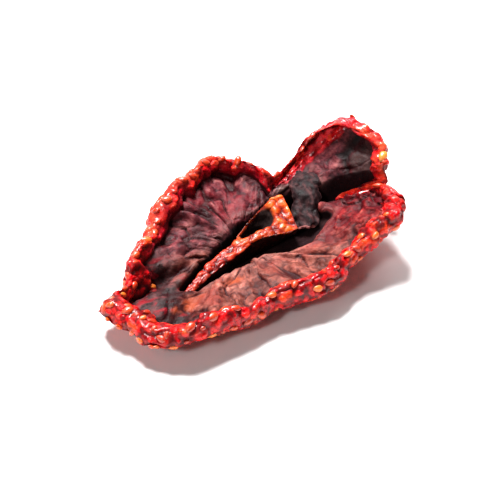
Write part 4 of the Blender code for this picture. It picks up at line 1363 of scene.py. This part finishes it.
def seed_material():
    """Golden orange, paler on some seeds and browner at the pointed end, and nearly black by the notch as
    painted shade.
    """
    material, tree, shader, coords = start_material("seed_coat")
    mottle = noise_node(tree, coords, 0.5 * MM, 4.0, 0.6)
    speck = noise_node(tree, coords, 0.12 * MM, 3.0, 0.6)
    # The tone is the seed's own, with painted shade near the notch.
    lit = maths(tree, "ADD", share_of(tree, "tone_and_notch_shade", 0.7), maths(tree, "MULTIPLY", mottle, 0.4))
    colour = ramp(tree, lit, (
        (0.00, (0.030, 0.002, 0.002)), (0.15, (0.42, 0.022, 0.008)), (0.45, (0.68, 0.080, 0.016)),
        (0.74, (0.86, 0.200, 0.030)), (1.00, (0.92, 0.360, 0.075))))
    colour = over(tree, colour, "tip_end", 0.65, 1.0, 0.6, (0.30, 0.045, 0.012))
    tree.links.new(deepened(tree, colour, 1.20), shader.inputs["Base Color"])
    tree.links.new(ranged(tree, mottle, 0.3, 0.7, 0.25, 0.42), shader.inputs["Roughness"])
    tree.links.new(bump_node(tree, speck, 0.05 * MM, 0.6), shader.inputs["Normal"])
    glow(shader, 0.10, (1.0, 0.5, 0.2), 0.0004)
    shader.inputs["Coat Weight"].default_value = 0.3
    shader.inputs["Coat Roughness"].default_value = 0.2
    return material


# Stage

VIEW_AZIMUTH = -27.0
VIEW_ELEVATION = 41.0
VIEW_WIDTH = 55.0 * MM
VIEW_DISTANCE = 300.0 * MM
TARGET_HEIGHT = 3.2 * MM
SENSOR = 36.0
NEAREST_SEEN = 0.01
FURTHEST_SEEN = 10.0
FLOOR_HALF = 1.5
FLOOR_COLOUR = (0.86, 0.855, 0.85, 1.0)
SKY_COLOUR = (1.0, 0.99, 0.98, 1.0)
SKY_STRENGTH = 0.10

# Lamps: name, azimuth and elevation in degrees, distance and size in metres, and power in watts.
LAMPS = (
    ("key", 178.0, 64.0, 0.45, 0.16, 7.4),
    ("back", 130.0, 50.0, 0.50, 0.25, 0.6),
    ("front", -60.0, 40.0, 0.50, 0.08, 0.8),
)


def away(azimuth, elevation):
    """Direction from the slice towards a viewer; azimuth 0 stands at -Y, and turns counterclockwise."""
    a, e = math.radians(azimuth), math.radians(elevation)
    return Vector((math.sin(a) * math.cos(e), -math.cos(a) * math.cos(e), math.sin(e)))


def aim(thing, place, target):
    thing.location = place
    thing.rotation_mode = "QUATERNION"
    thing.rotation_quaternion = (target - place).to_track_quat("-Z", "Y")


def make_floor():
    """A pale plain floor."""
    corners = [(x * FLOOR_HALF, y * FLOOR_HALF, 0.0) for x, y in ((-1, -1), (1, -1), (1, 1), (-1, 1))]
    mesh = bpy.data.meshes.new("floor")
    mesh.from_pydata(corners, [], [(0, 1, 2, 3)])
    material, _, shader, _ = start_material("floor_white")
    shader.inputs["Base Color"].default_value = FLOOR_COLOUR
    shader.inputs["Roughness"].default_value = 0.7
    mesh.materials.append(material)
    floor = bpy.data.objects.new("floor", mesh)
    bpy.context.scene.collection.objects.link(floor)


def make_lamp(name, azimuth, elevation, distance, size, power, target):
    light = bpy.data.lights.new(name, "AREA")
    light.shape = "DISK"
    light.size = size
    light.energy = power
    lamp = bpy.data.objects.new(name, light)
    bpy.context.scene.collection.objects.link(lamp)
    aim(lamp, target + away(azimuth, elevation) * distance, target)


def make_view(target):
    """The camera, at the photo's angle."""
    camera = bpy.data.cameras.new("camera")
    camera.sensor_width = SENSOR
    camera.lens = SENSOR * VIEW_DISTANCE / VIEW_WIDTH
    camera.clip_start = NEAREST_SEEN
    camera.clip_end = FURTHEST_SEEN
    seat = bpy.data.objects.new("camera", camera)
    bpy.context.scene.collection.objects.link(seat)
    aim(seat, target + away(VIEW_AZIMUTH, VIEW_ELEVATION) * VIEW_DISTANCE, target)
    bpy.context.scene.camera = seat


def make_sky():
    world = bpy.data.worlds.new("studio")
    world.use_nodes = True
    background = world.node_tree.nodes["Background"]
    background.inputs["Color"].default_value = SKY_COLOUR
    background.inputs["Strength"].default_value = SKY_STRENGTH
    bpy.context.scene.world = world


def main():
    bpy.context.scene.view_settings.view_transform = "Standard"
    shift = centring()
    places, own = seed_places()
    body, surface, normals = make_body(slice_material(), places, shift)
    core = make_core_ridge(core_material(), shift)
    tongue = make_tongue(tongue_material(), shift)
    seeds = make_seeds(seed_material(), places, own, surface, normals, shift)
    for piece in (body, core, tongue, seeds):
        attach(piece, "root")
    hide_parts(NODE)

    low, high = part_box(NODE)
    target = Vector(((low.x + high.x) / 2, (low.y + high.y) / 2, TARGET_HEIGHT))
    make_floor()
    make_sky()
    for lamp in LAMPS:
        make_lamp(*lamp, target)
    make_view(target)


main()
